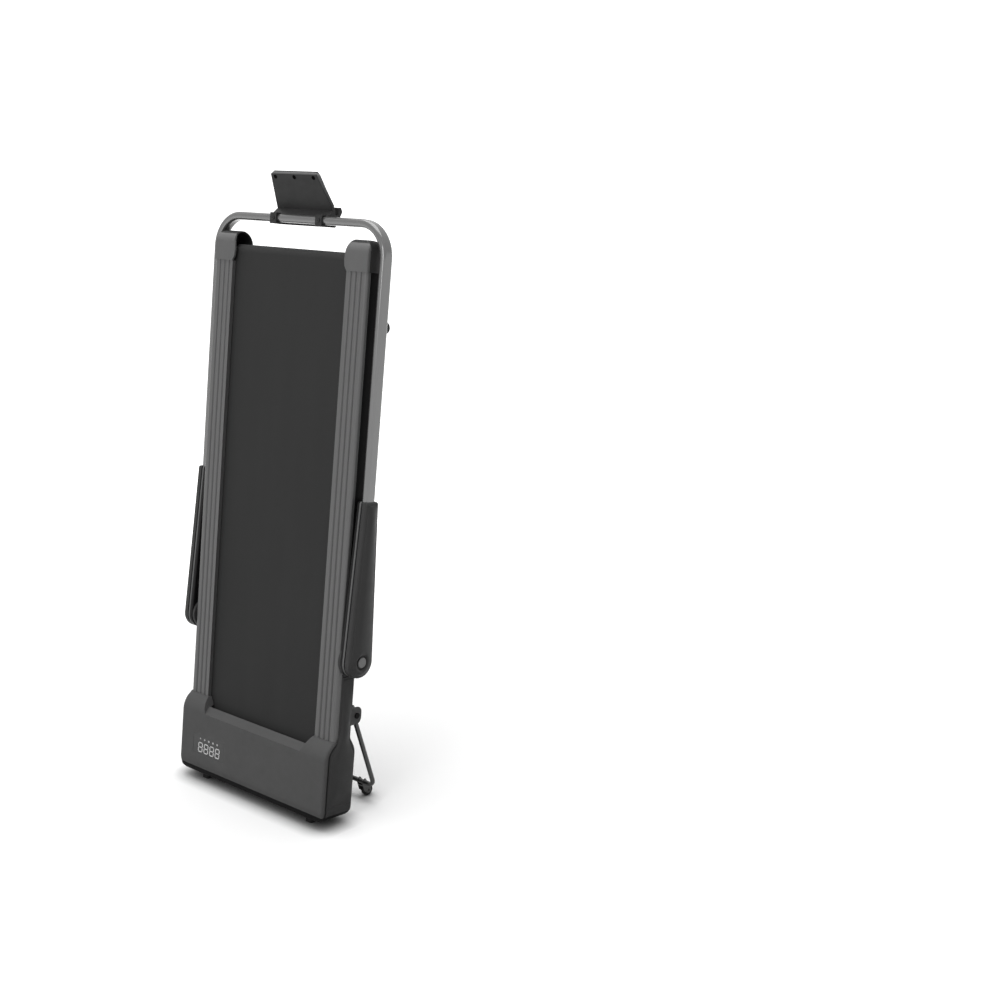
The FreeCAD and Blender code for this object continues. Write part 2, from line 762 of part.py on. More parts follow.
def build_belt():
    board = new_body("RunningBoard")
    add(board, "XZ", board_front, board_back, box(-board_half, rail_low + board_end, board_half,
                                               rail_high - board_end))
    keep("running_board", board)

    cushions = new_body("Cushions")
    bolts = new_body("DeckBolts")
    spot = frame_in - deck_bolt_in
    pads = [circle(spot, z, cushion_radius) for z in tab_levels]
    heads = [circle(spot, z, deck_bolt_radius) for z in tab_levels]
    add(cushions, "XZ", board_back, tab_front, *pads)
    add(bolts, "XZ", tab_back, tab_back + deck_bolt_tall, *heads)
    keep_both("deck_cushions", cushions)
    keep_both("deck_bolts", bolts)

    belt = new_body("RunningBelt")
    loops = []
    for reach in (belt_wrap, belt_wrap - belt_thick):
        rounding = reach - 0.001
        loops.append([(roller_y - reach, front_roller_z - reach, rounding),
                      (roller_y + reach, front_roller_z - reach, rounding),
                      (roller_y + reach, rear_roller_z + reach, rounding),
                      (roller_y - reach, rear_roller_z + reach, rounding)])
    add(belt, "YZ", -belt_half, belt_half, *loops)
    keep("running_belt", belt)

    for label, level in (("front", front_roller_z), ("rear", rear_roller_z)):
        drum = new_body("RollerDrum")
        drum_half = belt_half + drum_over
        bearing_out = drum_half - bearing_in
        bore = roller_radius - roller_wall
        add(drum, "YZ", -drum_half, drum_half, circle(roller_y, level, roller_radius),
            circle(roller_y, level, bore))
        keep(label + "_roller", drum)
        bearing = new_body("Bearing")
        add(bearing, "YZ", bearing_out - bearing_wide, bearing_out, circle(roller_y, level, bore - hair),
            circle(roller_y, level, axle_radius + running))
        keep_both(label + "_bearings", bearing)
        axle = new_body("Axle")
        axle_half = frame_in + axle_past
        add(axle, "YZ", -axle_half, axle_half, circle(roller_y, level, axle_radius))
        keep(label + "_axle", axle)

    tension = new_body("TensionBolt")
    bolt_low = rear_roller_z + axle_radius
    bolt_high = frame_high + tension_head
    socket = circle(frame_centre, roller_y, tension_socket_radius)
    add(tension, "XY", bolt_low, frame_high, circle(frame_centre, roller_y, tension_radius))
    add(tension, "XY", frame_high, bolt_high, circle(frame_centre, roller_y, tension_head_radius))
    cut(tension, "XY", bolt_high, bolt_high - tension_socket, socket)
    keep_both("tension_bolts", tension)


# Motor housing

def port(x):
    """Outline of the inlet or switch body in the end of the housing."""
    return box(x - port_half, port_y - port_deep, x + port_half, port_y + port_deep)


def round_ends(body):
    """Round the two bottom corners of a housing piece, as seen from the front."""
    over = house_half + 5
    top = neck_high + 5
    around = box(-over, -5, over, top)
    kept = [(-house_half, 0, corner_round), (house_half, 0, corner_round), (house_half, top - 1),
            (-house_half, top - 1)]
    return cut(body, "XZ", -house_front - 5, house_back + 5, around, kept)


def build_housing():
    front = -house_front
    inside = front + house_wall
    crest = -crest_front
    cheek_back = belt_face - cheek_gap
    cover = new_body("MotorCover")
    inner_round = shoulder_round - house_wall
    chin = front + chin_in
    chin_z = bumper_high + chin_tall
    shell = [(chin, bumper_high), (front, chin_z, chin_round), (front, shoulder_z, shoulder_round),
             (crest, rail_low), (frame_front, rail_low), (inside, shoulder_z - 2, inner_round),
             (inside, chin_z), (chin + house_wall, bumper_high)]
    add(cover, "YZ", -frame_out, frame_out, shell)

    # Solid cheeks close the shell beside the belt, before the belt opening is cut
    band_foot = band_half - band_slant
    cheek = [(inside - 1, band_low), (inside - 1, shoulder_z - 2, inner_round), (crest + 2, rail_low),
             (cheek_back, rail_low), (cheek_back, band_low)]
    for sign in (1, -1):
        add(cover, "YZ", sign * band_foot, sign * (band_half + 3), cheek)
    over = rail_low + 1
    notch = [(-band_foot, band_low), (band_foot, band_low), (band_half, rail_low), (band_half, over),
             (-band_half, over), (-band_half, rail_low)]
    cut(cover, "XZ", front - 1, cheek_back + 1, notch)

    # Sloped band below the belt opening
    lip_y = -lip_front
    band = [(front, band_low), (lip_y, band_high), (lip_y + 2.5, band_high - 3), (inside + 2.4, band_low)]
    add(cover, "YZ", -band_half, band_half, band)
    notch_back = [(inside, band_low), (lip_y + 2.5, band_high - 3), (cheek_back, band_high + 2),
                  (cheek_back + 1, band_high + 2), (cheek_back + 1, band_low)]
    cut(cover, "YZ", -band_half - 4, band_half + 4, notch_back)

    # The cover turns round the front corner as far as the seam with the side cover
    slope = (crest + house_front) / (rail_low - shoulder_z)
    seam_round = shoulder_round - house_front + seam_front
    seam_z = shoulder_z - 4
    seam_end = (rail_low - seam_z) * slope - seam_front
    strip = [(-seam_front, bumper_high), (chin, bumper_high), (front, chin_z, chin_round),
             (front, shoulder_z, shoulder_round), (crest, rail_low), (seam_end, rail_low),
             (-seam_front, seam_z, seam_round)]
    add(cover, "YZ", frame_out, house_half, strip)
    add(cover, "YZ", -frame_out, -house_half, strip)
    display = box(display_left, display_low, display_right, display_high)
    cut(cover, "XZ", front - 1, inside + 1, display)
    edge = house_half.value - 0.01
    soften(cover, cover_edge, lambda b: (b.XMin > edge or b.XMax < -edge) and b.YMin < front.value + 0.5
           and b.ZMax - b.ZMin > 5)
    round_ends(cover)
    keep("motor_cover", cover)

    window = new_body("DisplayWindow")
    add(window, "XZ", front + window_sunk, inside, display)
    keep("display_window", window)
    panel = new_body("DisplayBoard")
    add(panel, "XZ", inside, inside + panel_thick,
        box(display_left - panel_over, display_low - panel_over, display_right + panel_over,
            display_high + panel_over))
    keep("display_board", panel)

    # Side cover: a tongue behind the seam, and a face that stands off the seam by a gap
    side = new_body("SideCover")
    face_start = house_half - side_edge - 0.5
    neck_front = rail_lip + hair
    for start, end, gap in ((frame_out, face_start, 0), (face_start, house_half, seam_gap)):
        outline = [(gap - seam_front, bumper_high), (gap - seam_front, seam_z, seam_round - gap),
                   (seam_end + gap, rail_low), (neck_front, rail_low), (neck_front, neck_high),
                   (frame_back, neck_high), (frame_back, flare_high, flare_turn),
                   (house_back, flare_low, flare_round),
                   (house_back, heel_high, heel_round), (house_back - heel_back, bumper_high)]
        add(side, "YZ", start, end, outline)
    soften(side, side_edge, lambda b: b.XMin > edge and b.ZMax > bumper_high.value + 1)
    round_ends(side)
    keep_pair("side_cover", side)

    pan = new_body("BellyPan")
    profile = [(frame_back, bumper_high), (house_back - heel_back, bumper_high),
               (house_back, heel_high, heel_round), (house_back, flare_low, flare_round),
               (frame_back + 4, pan_high, 3), (frame_back, pan_high)]
    add(pan, "YZ", -frame_out, frame_out, profile)
    floor = house_back - house_wall
    hollow_low = bumper_high + 8
    hollow_high = flare_low - 10
    wall_x = frame_out - house_wall
    channel_left = strut_x - guide_wide / 2
    channel_right = strut_x + guide_wide / 2
    recess_right = frame_out - recess_edge
    under_recess = recess_low - 7
    cut(pan, "XZ", frame_back, floor, box(-wall_x, hollow_low, channel_left - pan_rib, hollow_high))
    cut(pan, "XZ", frame_back, floor, box(channel_right + pan_rib, hollow_low, wall_x, under_recess))
    cut(pan, "XZ", frame_back, floor, box(recess_right + 6, under_recess - 9, wall_x, hollow_high))
    belt_room = box(drive_x - 4, hollow_high - 1, drive_x + drive_wide + 4, pan_high - 8)
    cut(pan, "XZ", frame_back, frame_back + 6, belt_room)
    cut(pan, "XZ", frame_back, house_back, box(channel_left, bumper_high + 4, channel_right, pan_high - 7))
    recess = box(-recess_left, recess_low, recess_right, recess_high, recess_round)
    cut(pan, "XZ", house_back, house_back - recess_deep, recess)
    keep("belly_pan", pan)

    bumper = new_body("EndBumper")
    bumper_half = house_half - bumper_step
    bumper_front = chin + bumper_step
    bumper_back = house_back - heel_back - bumper_step
    sole = [(bumper_front, bumper_high), (bumper_front, 0, toe_round), (bumper_back, 0, sole_round),
            (bumper_back, bumper_high)]
    add(bumper, "YZ", -bumper_half, bumper_half, sole)
    tip = bumper_half.value - 0.01
    soften(bumper, cover_edge, lambda b: (b.XMin > tip or b.XMax < -tip) and b.ZMin < bumper_high.value - 1)
    round_ends(bumper)
    inner_half = bumper_half - corner_round
    well = box(-inner_half, bumper_front + bumper_wall, inner_half, bumper_back - bumper_wall - 2, 8)
    cut(bumper, "XY", bumper_high, bumper_floor, well)
    cut(bumper, "XY", bumper_floor + 1, -1, port(port_x), port(-port_x))
    keep("end_bumper", bumper)

    foot = new_body("EndFoot")
    tilt = math.tan(math.radians(lean_back.value))
    drop = lift_up.value / math.cos(math.radians(lean_back.value))
    shape = [(end_foot_front, 0), (end_foot_back, 0), (end_foot_back, end_foot_back * tilt - drop),
             (end_foot_front, end_foot_front * tilt - drop)]
    add(foot, "YZ", foot_x - end_foot_half, foot_x + end_foot_half, shape)
    soften(foot, end_foot_round, lambda b: b.XMax - b.XMin < 0.01 and b.YMax - b.YMin < 0.01)
    keep_both("end_feet", foot)

    screws = new_body("HousingScrews")
    heads = [circle(house_half * share, screw_z, screw_radius) for share in (-0.75, -0.45, 0.22, 0.56)]
    add(screws, "XZ", house_back, house_back + screw_head, *heads)
    keep("housing_screws", screws)


# Drive inside the housing

def build_drive():
    tray = new_body("MotorTray")
    tray_back = tray_y + tray_thick
    slot_low = tray_low + tray_slot_in
    slot_high = slot_low + tray_slot_tall
    add(tray, "XZ", tray_y, tray_back, box(-frame_in, tray_low, frame_in, tray_high))
    slots = [box(x, slot_low, x + tray_slot, slot_high, 3) for x in (-210, -100, 20)]
    cut(tray, "XZ", tray_y, tray_back, *slots)
    belt_gap = box(drive_x - 4, motor_z + 15, drive_x + drive_wide + 4, tray_high + 1)
    cut(tray, "XZ", tray_y, tray_back, belt_gap)
    keep("motor_tray", tray)

    motor = new_body("MotorCase")
    motor_end = drive_x - motor_gap
    motor_start = motor_end - motor_long
    saddle_half = motor_radius - saddle_in
    saddle = box(motor_start + saddle_end, motor_z - saddle_half, motor_end - saddle_end,
                 motor_z + saddle_half)
    add(motor, "YZ", motor_start, motor_end, circle(motor_y, motor_z, motor_radius))
    add(motor, "XZ", motor_y, tray_y, saddle)
    cut(motor, "YZ", motor_end, motor_start + shaft_in, circle(motor_y, motor_z, shaft_radius + running))
    keep("motor_case", motor)

    rotor = new_body("MotorRotor")
    pulley_end = drive_x + drive_wide
    flywheel = motor_end + flywheel_gap
    add(rotor, "YZ", motor_start + shaft_in + 2, pulley_end + 4, circle(motor_y, motor_z, shaft_radius))
    add(rotor, "YZ", flywheel, flywheel + flywheel_wide, circle(motor_y, motor_z, motor_radius - flywheel_in))
    add(rotor, "YZ", drive_x, drive_x + drive_wide, circle(motor_y, motor_z, small_pulley))
    keep("motor_rotor", rotor)

    wheel = new_body("RollerPulley")
    add(wheel, "YZ", drive_x, drive_x + drive_wide, circle(roller_y, front_roller_z, big_pulley),
        circle(roller_y, front_roller_z, axle_radius + running))
    add(wheel, "YZ", belt_half + drum_over, drive_x, circle(roller_y, front_roller_z, roller_radius - 1),
        circle(roller_y, front_roller_z, axle_radius + running))
    keep("roller_pulley", wheel)

    belt = doc.addObject("Part::Feature", "DriveBelt")
    rings = []
    for swell in (roll_gap + drive_thick, roll_gap):
        rings.append(belt_loop(swell.value))
    face = Part.makeFace(rings, "Part::FaceMakerBullseye")
    belt.Shape = face.extrude(FreeCAD.Vector(drive_wide.value, 0, 0))
    keep("drive_belt", belt)

    board = new_body("ControllerBoard")
    base = tray_y - board_stand
    board_rear = base + panel_thick
    posts = [(x, z) for x in (board_left + post_in, board_right - post_in)
             for z in (board_low + post_in, board_high - post_in)]
    cans_z = (board_low + board_high) / 2 + 3
    cans = [board_right - can_in - can_pitch * step for step in range(3)]
    add(board, "XZ", base, board_rear, box(board_left, board_low, board_right, board_high))
    add(board, "XZ", board_rear, tray_y, *[circle(x, z, post_radius) for x, z in posts])
    add(board, "XZ", base - can_tall, base, *[circle(x, cans_z, can_radius) for x in cans])
    keep("controller_board", board)

    sink = new_body("HeatSink")
    foot = base - fin_thick
    pitch = (sink_right - sink_left - fin_thick) / 6
    fins = [sink_left + pitch * step for step in range(7)]
    add(sink, "XZ", foot, base, box(sink_left, sink_low, sink_right, sink_high))
    add(sink, "XZ", base - sink_tall, foot, *[box(x, sink_low, x + fin_thick, sink_high) for x in fins])
    keep("heat_sink", sink)


def belt_loop(swell):
    """Closed wire round both pulleys, a given distance outside their rims."""
    small = FreeCAD.Vector(drive_x.value, motor_y.value, motor_z.value)
    big = FreeCAD.Vector(drive_x.value, roller_y.value, front_roller_z.value)
    near = small_pulley.value + swell
    far = big_pulley.value + swell
    span = big - small
    heading = math.atan2(span.z, span.y)
    lean = math.acos((near - far) / span.Length)

    def spot(centre, radius, angle):
        return centre + FreeCAD.Vector(0, radius * math.cos(angle), radius * math.sin(angle))

    start = spot(small, near, heading + lean)
    bottom = spot(small, near, heading + math.pi)
    finish = spot(small, near, heading - lean)
    rise = spot(big, far, heading - lean)
    crest = spot(big, far, heading)
    fall = spot(big, far, heading + lean)
    edges = [Part.Arc(start, bottom, finish).toShape(), Part.LineSegment(finish, rise).toShape(),
             Part.Arc(rise, crest, fall).toShape(), Part.LineSegment(fall, start).toShape()]
    return Part.Wire(edges)


# Mains inlet and switch on the end of the housing

def build_switch():
    inlet = new_body("MainsInlet")
    mouth = box(port_x - mouth_half, port_y - mouth_deep, port_x + mouth_half, port_y + mouth_deep, 2)
    prongs = [(port_x - 6, port_y - 2), (port_x + 6, port_y - 2), (port_x, port_y + 3)]
    mouth_end = port_high - mouth_floor
    add(inlet, "XY", port_low, port_high, port(port_x))
    cut(inlet, "XY", port_low, mouth_end, mouth)
    add(inlet, "XY", mouth_end - prong_tall, mouth_end, *[box(x - 1, y - 2, x + 1, y + 2) for x, y in prongs])
    keep("mains_inlet", inlet)

    case = new_body("SwitchCase")
    well = box(-port_x - well_half, port_y - well_deep, -port_x + well_half, port_y + well_deep)
    pivot = circle(-port_x, rocker_z, rocker_pin + running)
    add(case, "XY", port_low, port_high, port(-port_x))
    cut(case, "XY", port_low, port_high - well_floor, well)
    cut(case, "XZ", port_y - well_deep - 2, port_y + well_deep + 2, pivot)
    keep("switch_case", case)
    rocker = new_body("SwitchRocker")
    flat = [(-rocker_half, -3.2), (rocker_half, -0.4), (rocker_half, 2.5), (4, 6), (-4, 6),
            (-rocker_half, 2.5)]
    add(rocker, "XZ", -rocker_deep, rocker_deep, flat)
    add(rocker, "XZ", -rocker_pin_half, rocker_pin_half, circle(0, 0, rocker_pin))
    move = FreeCAD.Vector(-port_x.value, port_y.value, rocker_z.value)
    keep("switch_rocker", rocker, FreeCAD.Placement(move, FreeCAD.Rotation()))


# Feet under the frame

def build_feet():
    feet = new_body("RubberFeet")
    spots = [near_foot_z, rail_high - far_foot_in]
    neck = frame_back + foot_neck
    add(feet, "XZ", frame_back, neck, *[circle(frame_centre, z, foot_neck_radius) for z in spots])
    pads = [circle(frame_centre, z, foot_radius) for z in spots]
    taper = add(feet, "XZ", neck, frame_back + foot_tall, *pads)
    taper.setExpression("TaperAngle", (-foot_draft).formula + " * 1 deg")
    keep_both("rubber_feet", feet)


# Handrail

def paddle(swell):
    """Side outline of an arm cover, drawn in by a distance."""
    front = arm_front - sleeve_lap
    back = arm_back + sleeve_lap - 1
    toe = pivot_y - sleeve_half
    heel = pivot_y + sleeve_half
    top = sleeve_top - swell
    low = sleeve_low + swell
    turn = sleeve_round - swell
    return [(front + swell, top, sleeve_corner), (back - swell, top, sleeve_corner),
            (heel - swell, low, turn), (toe + swell, low, turn)]


def build_handrail():
    rail = new_body("HandrailTube")
    path = [(arm_x, arm_low), (arm_x, arm_top, arm_bend), (-arm_x, arm_top, arm_bend), (-arm_x, arm_low)]
    half = arm_wide / 2
    wall = arm_wall
    outside = box(arm_x - half, arm_front, arm_x + half, arm_back, arm_corner)
    hollow = box(arm_x - half + wall, arm_front + wall, arm_x + half - wall, arm_back - wall,
                 arm_corner - wall)
    sweep(rail, "PartDesign::AdditivePipe", "XY", arm_low, [outside], "XZ", arm_y, path)
    sweep(rail, "PartDesign::SubtractivePipe", "XY", arm_low, [hollow], "XZ", arm_y, path)
    reach = arm_x + half + 1
    cut(rail, "YZ", -reach, reach, circle(pivot_y, pivot_z, pivot_radius + running))
    keep("handrail_tube", rail)

    inner = new_body("ArmInner")
    split = arm_x - half + sleeve_split
    mouth = box(arm_front, sleeve_top - sleeve_mouth, arm_back, sleeve_top + 1)
    add(inner, "YZ", sleeve_in, split, paddle(0))
    cut(inner, "YZ", split, arm_x - half, paddle(sleeve_wall))
    cut(inner, "YZ", split, arm_x - half, mouth)
    cut(inner, "YZ", sleeve_in, arm_x, circle(pivot_y, pivot_z, pivot_radius + running))
    soften(inner, sleeve_inner_edge, lambda b: b.XMax < sleeve_in.value + 0.01 and b.ZMax - b.ZMin > 15)
    keep_pair("arm_inner_cover", inner)

    outer = new_body("ArmOuter")
    start = split + sleeve_gap
    add(outer, "YZ", start, sleeve_out, paddle(0))
    cut(outer, "YZ", start, arm_x + half, paddle(sleeve_wall))
    cut(outer, "YZ", start, arm_x + half, mouth)
    cut(outer, "YZ", start, sleeve_out, circle(pivot_y, pivot_z, pivot_radius + running))
    soften(outer, sleeve_edge, lambda b: b.XMin > sleeve_out.value - 0.01 and b.YMax - b.YMin > 13)
    keep_pair("arm_outer_cover", outer)

    bracket = new_body("PivotBracket")
    plate_out = rail_outer + bracket_proud
    plate = box(rail_lip + hair, neck_high, frame_back, pivot_z + bracket_over, bracket_corner)
    add(bracket, "YZ", frame_out, plate_out, plate)
    add(bracket, "YZ", plate_out, sleeve_in - air, circle(pivot_y, pivot_z, pivot_boss))
    cut(bracket, "YZ", frame_out, sleeve_in, circle(pivot_y, pivot_z, pivot_radius + hair))
    keep_pair("pivot_bracket", bracket)

    bolt = new_body("PivotBolt")
    head = sleeve_out + air
    crown = head + pivot_head
    add(bolt, "YZ", frame_out - pivot_in, head, circle(pivot_y, pivot_z, pivot_radius))
    add(bolt, "YZ", head, crown, circle(pivot_y, pivot_z, pivot_head_radius))
    soften(bolt, pivot_head_edge, lambda b: b.XMin > crown.value - 0.1)
    keep_both("pivot_bolts", bolt)


# Tablet cradle on the handrail

def build_cradle():
    cradle = new_body("TabletCradle")
    top = arm_top + arm_wide / 2
    back = arm_back
    skirt = top - cradle_skirt
    profile = [(back - cradle_seat, top), (back - knee_in, top + knee_up), (back - brow_in, top + brow_up, 3),
               (back - crown_in, top + crown_up, 3), (back + 1, top + knee_up + 4),
               (back + slot_near, top + slot_floor, 2), (back + slot_far, top + slot_floor, 2),
               (back + slot_far + 2, top + ledge_up, 2), (back + ledge_out - 5, top + ledge_up + 1, 3),
               (back + ledge_out, top + ledge_up - 10, 4), (back + 5, skirt, 3), (back, skirt), (back, top)]
    add(cradle, "YZ", -cradle_half, cradle_half, profile)
    over = crown_up + 1
    before = back - brow_in - 9
    for sign in (1, -1):
        edge = [(sign * (cradle_half + 5), top + knee_up + 2), (sign * cradle_half, top + knee_up + 2),
                (sign * cradle_top_half, top + brow_up + 1), (sign * (cradle_top_half - 8), top + over),
                (sign * (cradle_half + 5), top + over)]
        cut(cradle, "XZ", before, back + 4, edge)
    dimple_x = cradle_top_half - 13
    dimples = [circle(dimple_x * step, top + brow_up - 6, dimple_radius) for step in (-1, 0, 1)]
    cut(cradle, "XZ", before, back - brow_in + 6.5, *dimples)
    keep("tablet_cradle", cradle)

    clamp = new_body("CradleClamp")
    left = clamp_x - clamp_wide / 2
    right = clamp_x + clamp_wide / 2
    tube_low = top - arm_wide
    strap_front = arm_front - strap_thick
    strap_top = top + 2.6
    strap = [(strap_front, skirt), (back, skirt), (back, tube_low), (arm_front, tube_low), (arm_front, top),
             (back - cradle_seat, top), (back - cradle_seat + 2.7, strap_top), (strap_front, strap_top)]
    add(clamp, "YZ", left, right, strap)
    keep_both("cradle_clamps", clamp)

    screw = new_body("ClampScrew")
    head = strap_front - clamp_screw_tall
    add(screw, "XZ", strap_front, head, circle(clamp_x, arm_top, clamp_screw_radius))
    cut(screw, "XZ", head, head + clamp_socket, circle(clamp_x, arm_top, clamp_socket_radius))
    keep_both("clamp_screws", screw)


# Kick stand

def build_stand():
    opened = stand_open.value
    pose = turn_x(opened, stand_y.value, stand_z.value)

    bracket = new_body("StandBracket")
    low = stand_z - stand_plate_half
    high = stand_z + stand_plate_half
    plate_back = frame_back + stand_plate
    fork_out = cheek_half + stand_plate
    tip = stand_y + cheek_out
    cheek = [(plate_back, low), (tip, low, cheek_round), (tip, high, cheek_round), (plate_back, high)]
    add(bracket, "XZ", frame_back, plate_back, box(stand_x - stand_plate_in, low, frame_out, high))
    add(bracket, "YZ", stand_x - fork_out, stand_x - cheek_half, cheek)
    add(bracket, "YZ", stand_x + cheek_half, stand_x + fork_out, cheek)
    cut(bracket, "YZ", stand_x - fork_out - 1, stand_x + fork_out + 1,
        circle(stand_y, stand_z, pin_radius + hair))
    keep_pair("stand_bracket", bracket)

    pin = new_body("StandPin")
    pin_half = fork_out + pin_past
    head = stand_x + fork_out
    add(pin, "YZ", stand_x - pin_half, stand_x + pin_half, circle(stand_y, stand_z, pin_radius))
    add(pin, "YZ", head, head + pin_head, circle(stand_y, stand_z, pin_head_radius))
    keep_both("stand_pins", pin)

    frame = new_body("StandFrame")
    path = [(stand_x, 0), (stand_x, -stand_reach, stand_bend), (-stand_x, -stand_reach, stand_bend),
            (-stand_x, 0)]
    sweep(frame, "PartDesign::AdditivePipe", "XY", 0, [circle(stand_x, 0, stand_rod)], "XZ", 0, path)
    hub_half = cheek_half - air
    for sign in (1, -1):
        add(frame, "YZ", sign * (stand_x - hub_half), sign * (stand_x + hub_half), circle(0, 0, hub_radius))
    reach = stand_x + pin_half
    cut(frame, "YZ", -reach, reach, circle(0, 0, pin_radius + running))
    lug_z = lug_up - stand_reach
    lug_top = lug_z + lug_over
    lug = [(-lug_half, lug_z - lug_up), (lug_half, lug_z - lug_up), (lug_half, lug_top, 5),
           (-lug_half, lug_top, 5)]
    for near in (strut_x - lug_gap - lug_thick, strut_x + lug_gap):
        add(frame, "YZ", near, near + lug_thick, lug)
    lug_pin_half = lug_gap + lug_thick + lug_pin_past
    add(frame, "YZ", strut_x - lug_pin_half, strut_x + lug_pin_half, circle(0, lug_z, lug_pin))
    keep("stand_frame", frame, pose)

    fork = new_body("WheelFork")
    half = wheel_wide / 2 + fork_gap
    axle_z = -stand_reach - wheel_drop
    fork_top = fork_half - stand_reach
    toe_front = wheel_back - fork_toe
    toe_back = wheel_back + fork_toe
    blade = [(-fork_half, fork_top, 3), (-fork_half, axle_z + 8), (toe_front, axle_z - fork_toe, 4),
             (toe_back, axle_z - fork_toe, 4), (toe_back, axle_z + 10), (fork_half, fork_top, 3)]
    hole = circle(0, -stand_reach, stand_rod + hair)
    add(fork, "YZ", wheel_x - half - fork_thick, wheel_x - half, blade, hole)
    add(fork, "YZ", wheel_x + half, wheel_x + half + fork_thick, blade, hole)
    bridge_top = -stand_reach - fork_bridge_in
    bridge = box(-fork_toe, bridge_top - fork_bridge, fork_toe, bridge_top)
    axle_half = half + wheel_pin_past
    add(fork, "YZ", wheel_x - half, wheel_x + half, bridge)
    add(fork, "YZ", wheel_x - axle_half, wheel_x + axle_half, circle(wheel_back, axle_z, wheel_pin))
    keep_both("wheel_forks", fork, pose)

    wheel = new_body("StandWheel")
    add(wheel, "YZ", wheel_x - wheel_wide / 2, wheel_x + wheel_wide / 2,
        circle(wheel_back, axle_z, wheel_radius), circle(wheel_back, axle_z, wheel_pin + running))
    rim = 2 * wheel_radius.value - 1
    soften(wheel, wheel_edge, lambda b: b.YMax - b.YMin > rim and b.XMax - b.XMin < 0.01)
    keep_pair("stand_wheel", wheel, pose)

    swing = math.radians(opened)
    lug_reach = stand_reach.value - lug_up.value
    bar_y = stand_y.value + lug_reach * math.sin(swing)
    bar_z = stand_z.value - lug_reach * math.cos(swing)
    run_y = bar_y - guide_pin_y.value
    run_z = guide_pin_z.value - bar_z
    length = math.hypot(run_y, run_z)
    strut = new_body("StandStrut")
    eye_left = strut_x - strut_eye_half
    eye_right = strut_x + strut_eye_half
    slide_half = guide_wide / 2 - strut_pin_gap
    add(strut, "YZ", eye_left, eye_right, circle(0, 0, strut_eye))
    add(strut, "XY", 0, length, circle(strut_x, 0, strut_rod))
    add(strut, "YZ", eye_left, eye_right, circle(0, length, strut_end))
    add(strut, "YZ", strut_x - slide_half, strut_x + slide_half, circle(0, length, strut_pin))
    cut(strut, "YZ", eye_left - 1, eye_right + 1, circle(0, 0, lug_pin + running))
    keep("stand_strut", strut, turn_x(math.degrees(math.atan2(run_y, run_z)), bar_y, bar_z))

    guide = new_body("StrutGuide")
    left = strut_x - guide_wide / 2
    right = strut_x + guide_wide / 2
    low = guide_pin_z - guide_under
    high = pan_high - 7
    floor = guide_front + guide_skin
    add(guide, "XZ", guide_front, floor, box(left, low, right, high))
    add(guide, "XZ", floor, house_back - 2, box(left, low, left + guide_wall, high),
        box(right - guide_wall, low, right, high))
    slot = box(guide_pin_y - slot_ahead, guide_pin_z - slot_under, guide_pin_y + slot_behind,
               guide_pin_z + slot_over)
    cut(guide, "YZ", left - 1, right + 1, slot)
    past = house_back + 1
    slope = [(past, flare_low - 18), (house_back - 2, flare_low - 18), (house_back - 4, flare_low),
             (frame_back + 7, high + 1), (past, high + 1)]
    cut(guide, "YZ", left - 1, right + 1, slope)
    keep("strut_guide", guide)


build_frame()
build_rails()
build_belt()
build_housing()
build_drive()
build_switch()
build_feet()
build_handrail()
build_cradle()
build_stand()
doc.recompute()

# Every object is checked before anything is written
broken = []
for item in doc.Objects:
    if "Invalid" in item.State or "Error" in item.State:
        owners = [other.Label for other in item.InListRecursive if other in nodes]
        broken.append("%s in %s" % (item.Name, ", ".join(owners)))
for piece in nodes:
    if piece.Shape.isNull() or not piece.Shape.isValid():
        broken.append("shape of " + piece.Label)
if broken:
    raise RuntimeError("failed: " + "; ".join(broken))
for piece in nodes:
    piece.Shape.exportStep("parts/%s.step" % piece.Label)
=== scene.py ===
import math

import bmesh
import bpy
from mathutils import Matrix, Vector


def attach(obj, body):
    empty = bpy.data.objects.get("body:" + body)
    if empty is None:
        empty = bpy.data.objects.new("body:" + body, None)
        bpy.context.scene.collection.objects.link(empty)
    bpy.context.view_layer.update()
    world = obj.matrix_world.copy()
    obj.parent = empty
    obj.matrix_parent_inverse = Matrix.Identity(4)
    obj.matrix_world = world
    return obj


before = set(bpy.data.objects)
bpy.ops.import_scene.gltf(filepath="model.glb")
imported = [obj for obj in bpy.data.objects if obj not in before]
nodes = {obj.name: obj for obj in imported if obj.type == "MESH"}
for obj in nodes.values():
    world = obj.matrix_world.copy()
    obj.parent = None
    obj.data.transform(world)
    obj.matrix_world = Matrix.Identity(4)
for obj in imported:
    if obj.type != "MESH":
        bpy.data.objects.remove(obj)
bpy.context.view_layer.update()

# Stance of the deck in the row frame, in metres and degrees
LEAN = math.radians(7.75)
ORIGIN_BACK = 0.1257
LIFT = 0.0179
DECK = Matrix.Translation((0, -ORIGIN_BACK, LIFT)) @ Matrix.Rotation(-LEAN, 4, "X")

# Faces and places in the deck's own frame, in metres
WINDOW_FACE = -0.0257
BELLY_FACE = 0.075
SCREW_HEAD = 0.0016
HOUSE_HALF = 0.269
CAP_GROOVE = 0.0076
ARM_FACE = 0.307
PIVOT_Y = 0.033
PIVOT_Z = 0.411
# Distance from the middle plane where the painted highlight on the inner arm covers' outer edge begins
SLEEVE_HIGHLIGHT_EDGE = 0.2828
# Grip grooves of the foot rails, where their painted shade lies
GROOVE_FIRST = 0.2145
GROOVE_PITCH = 0.0165

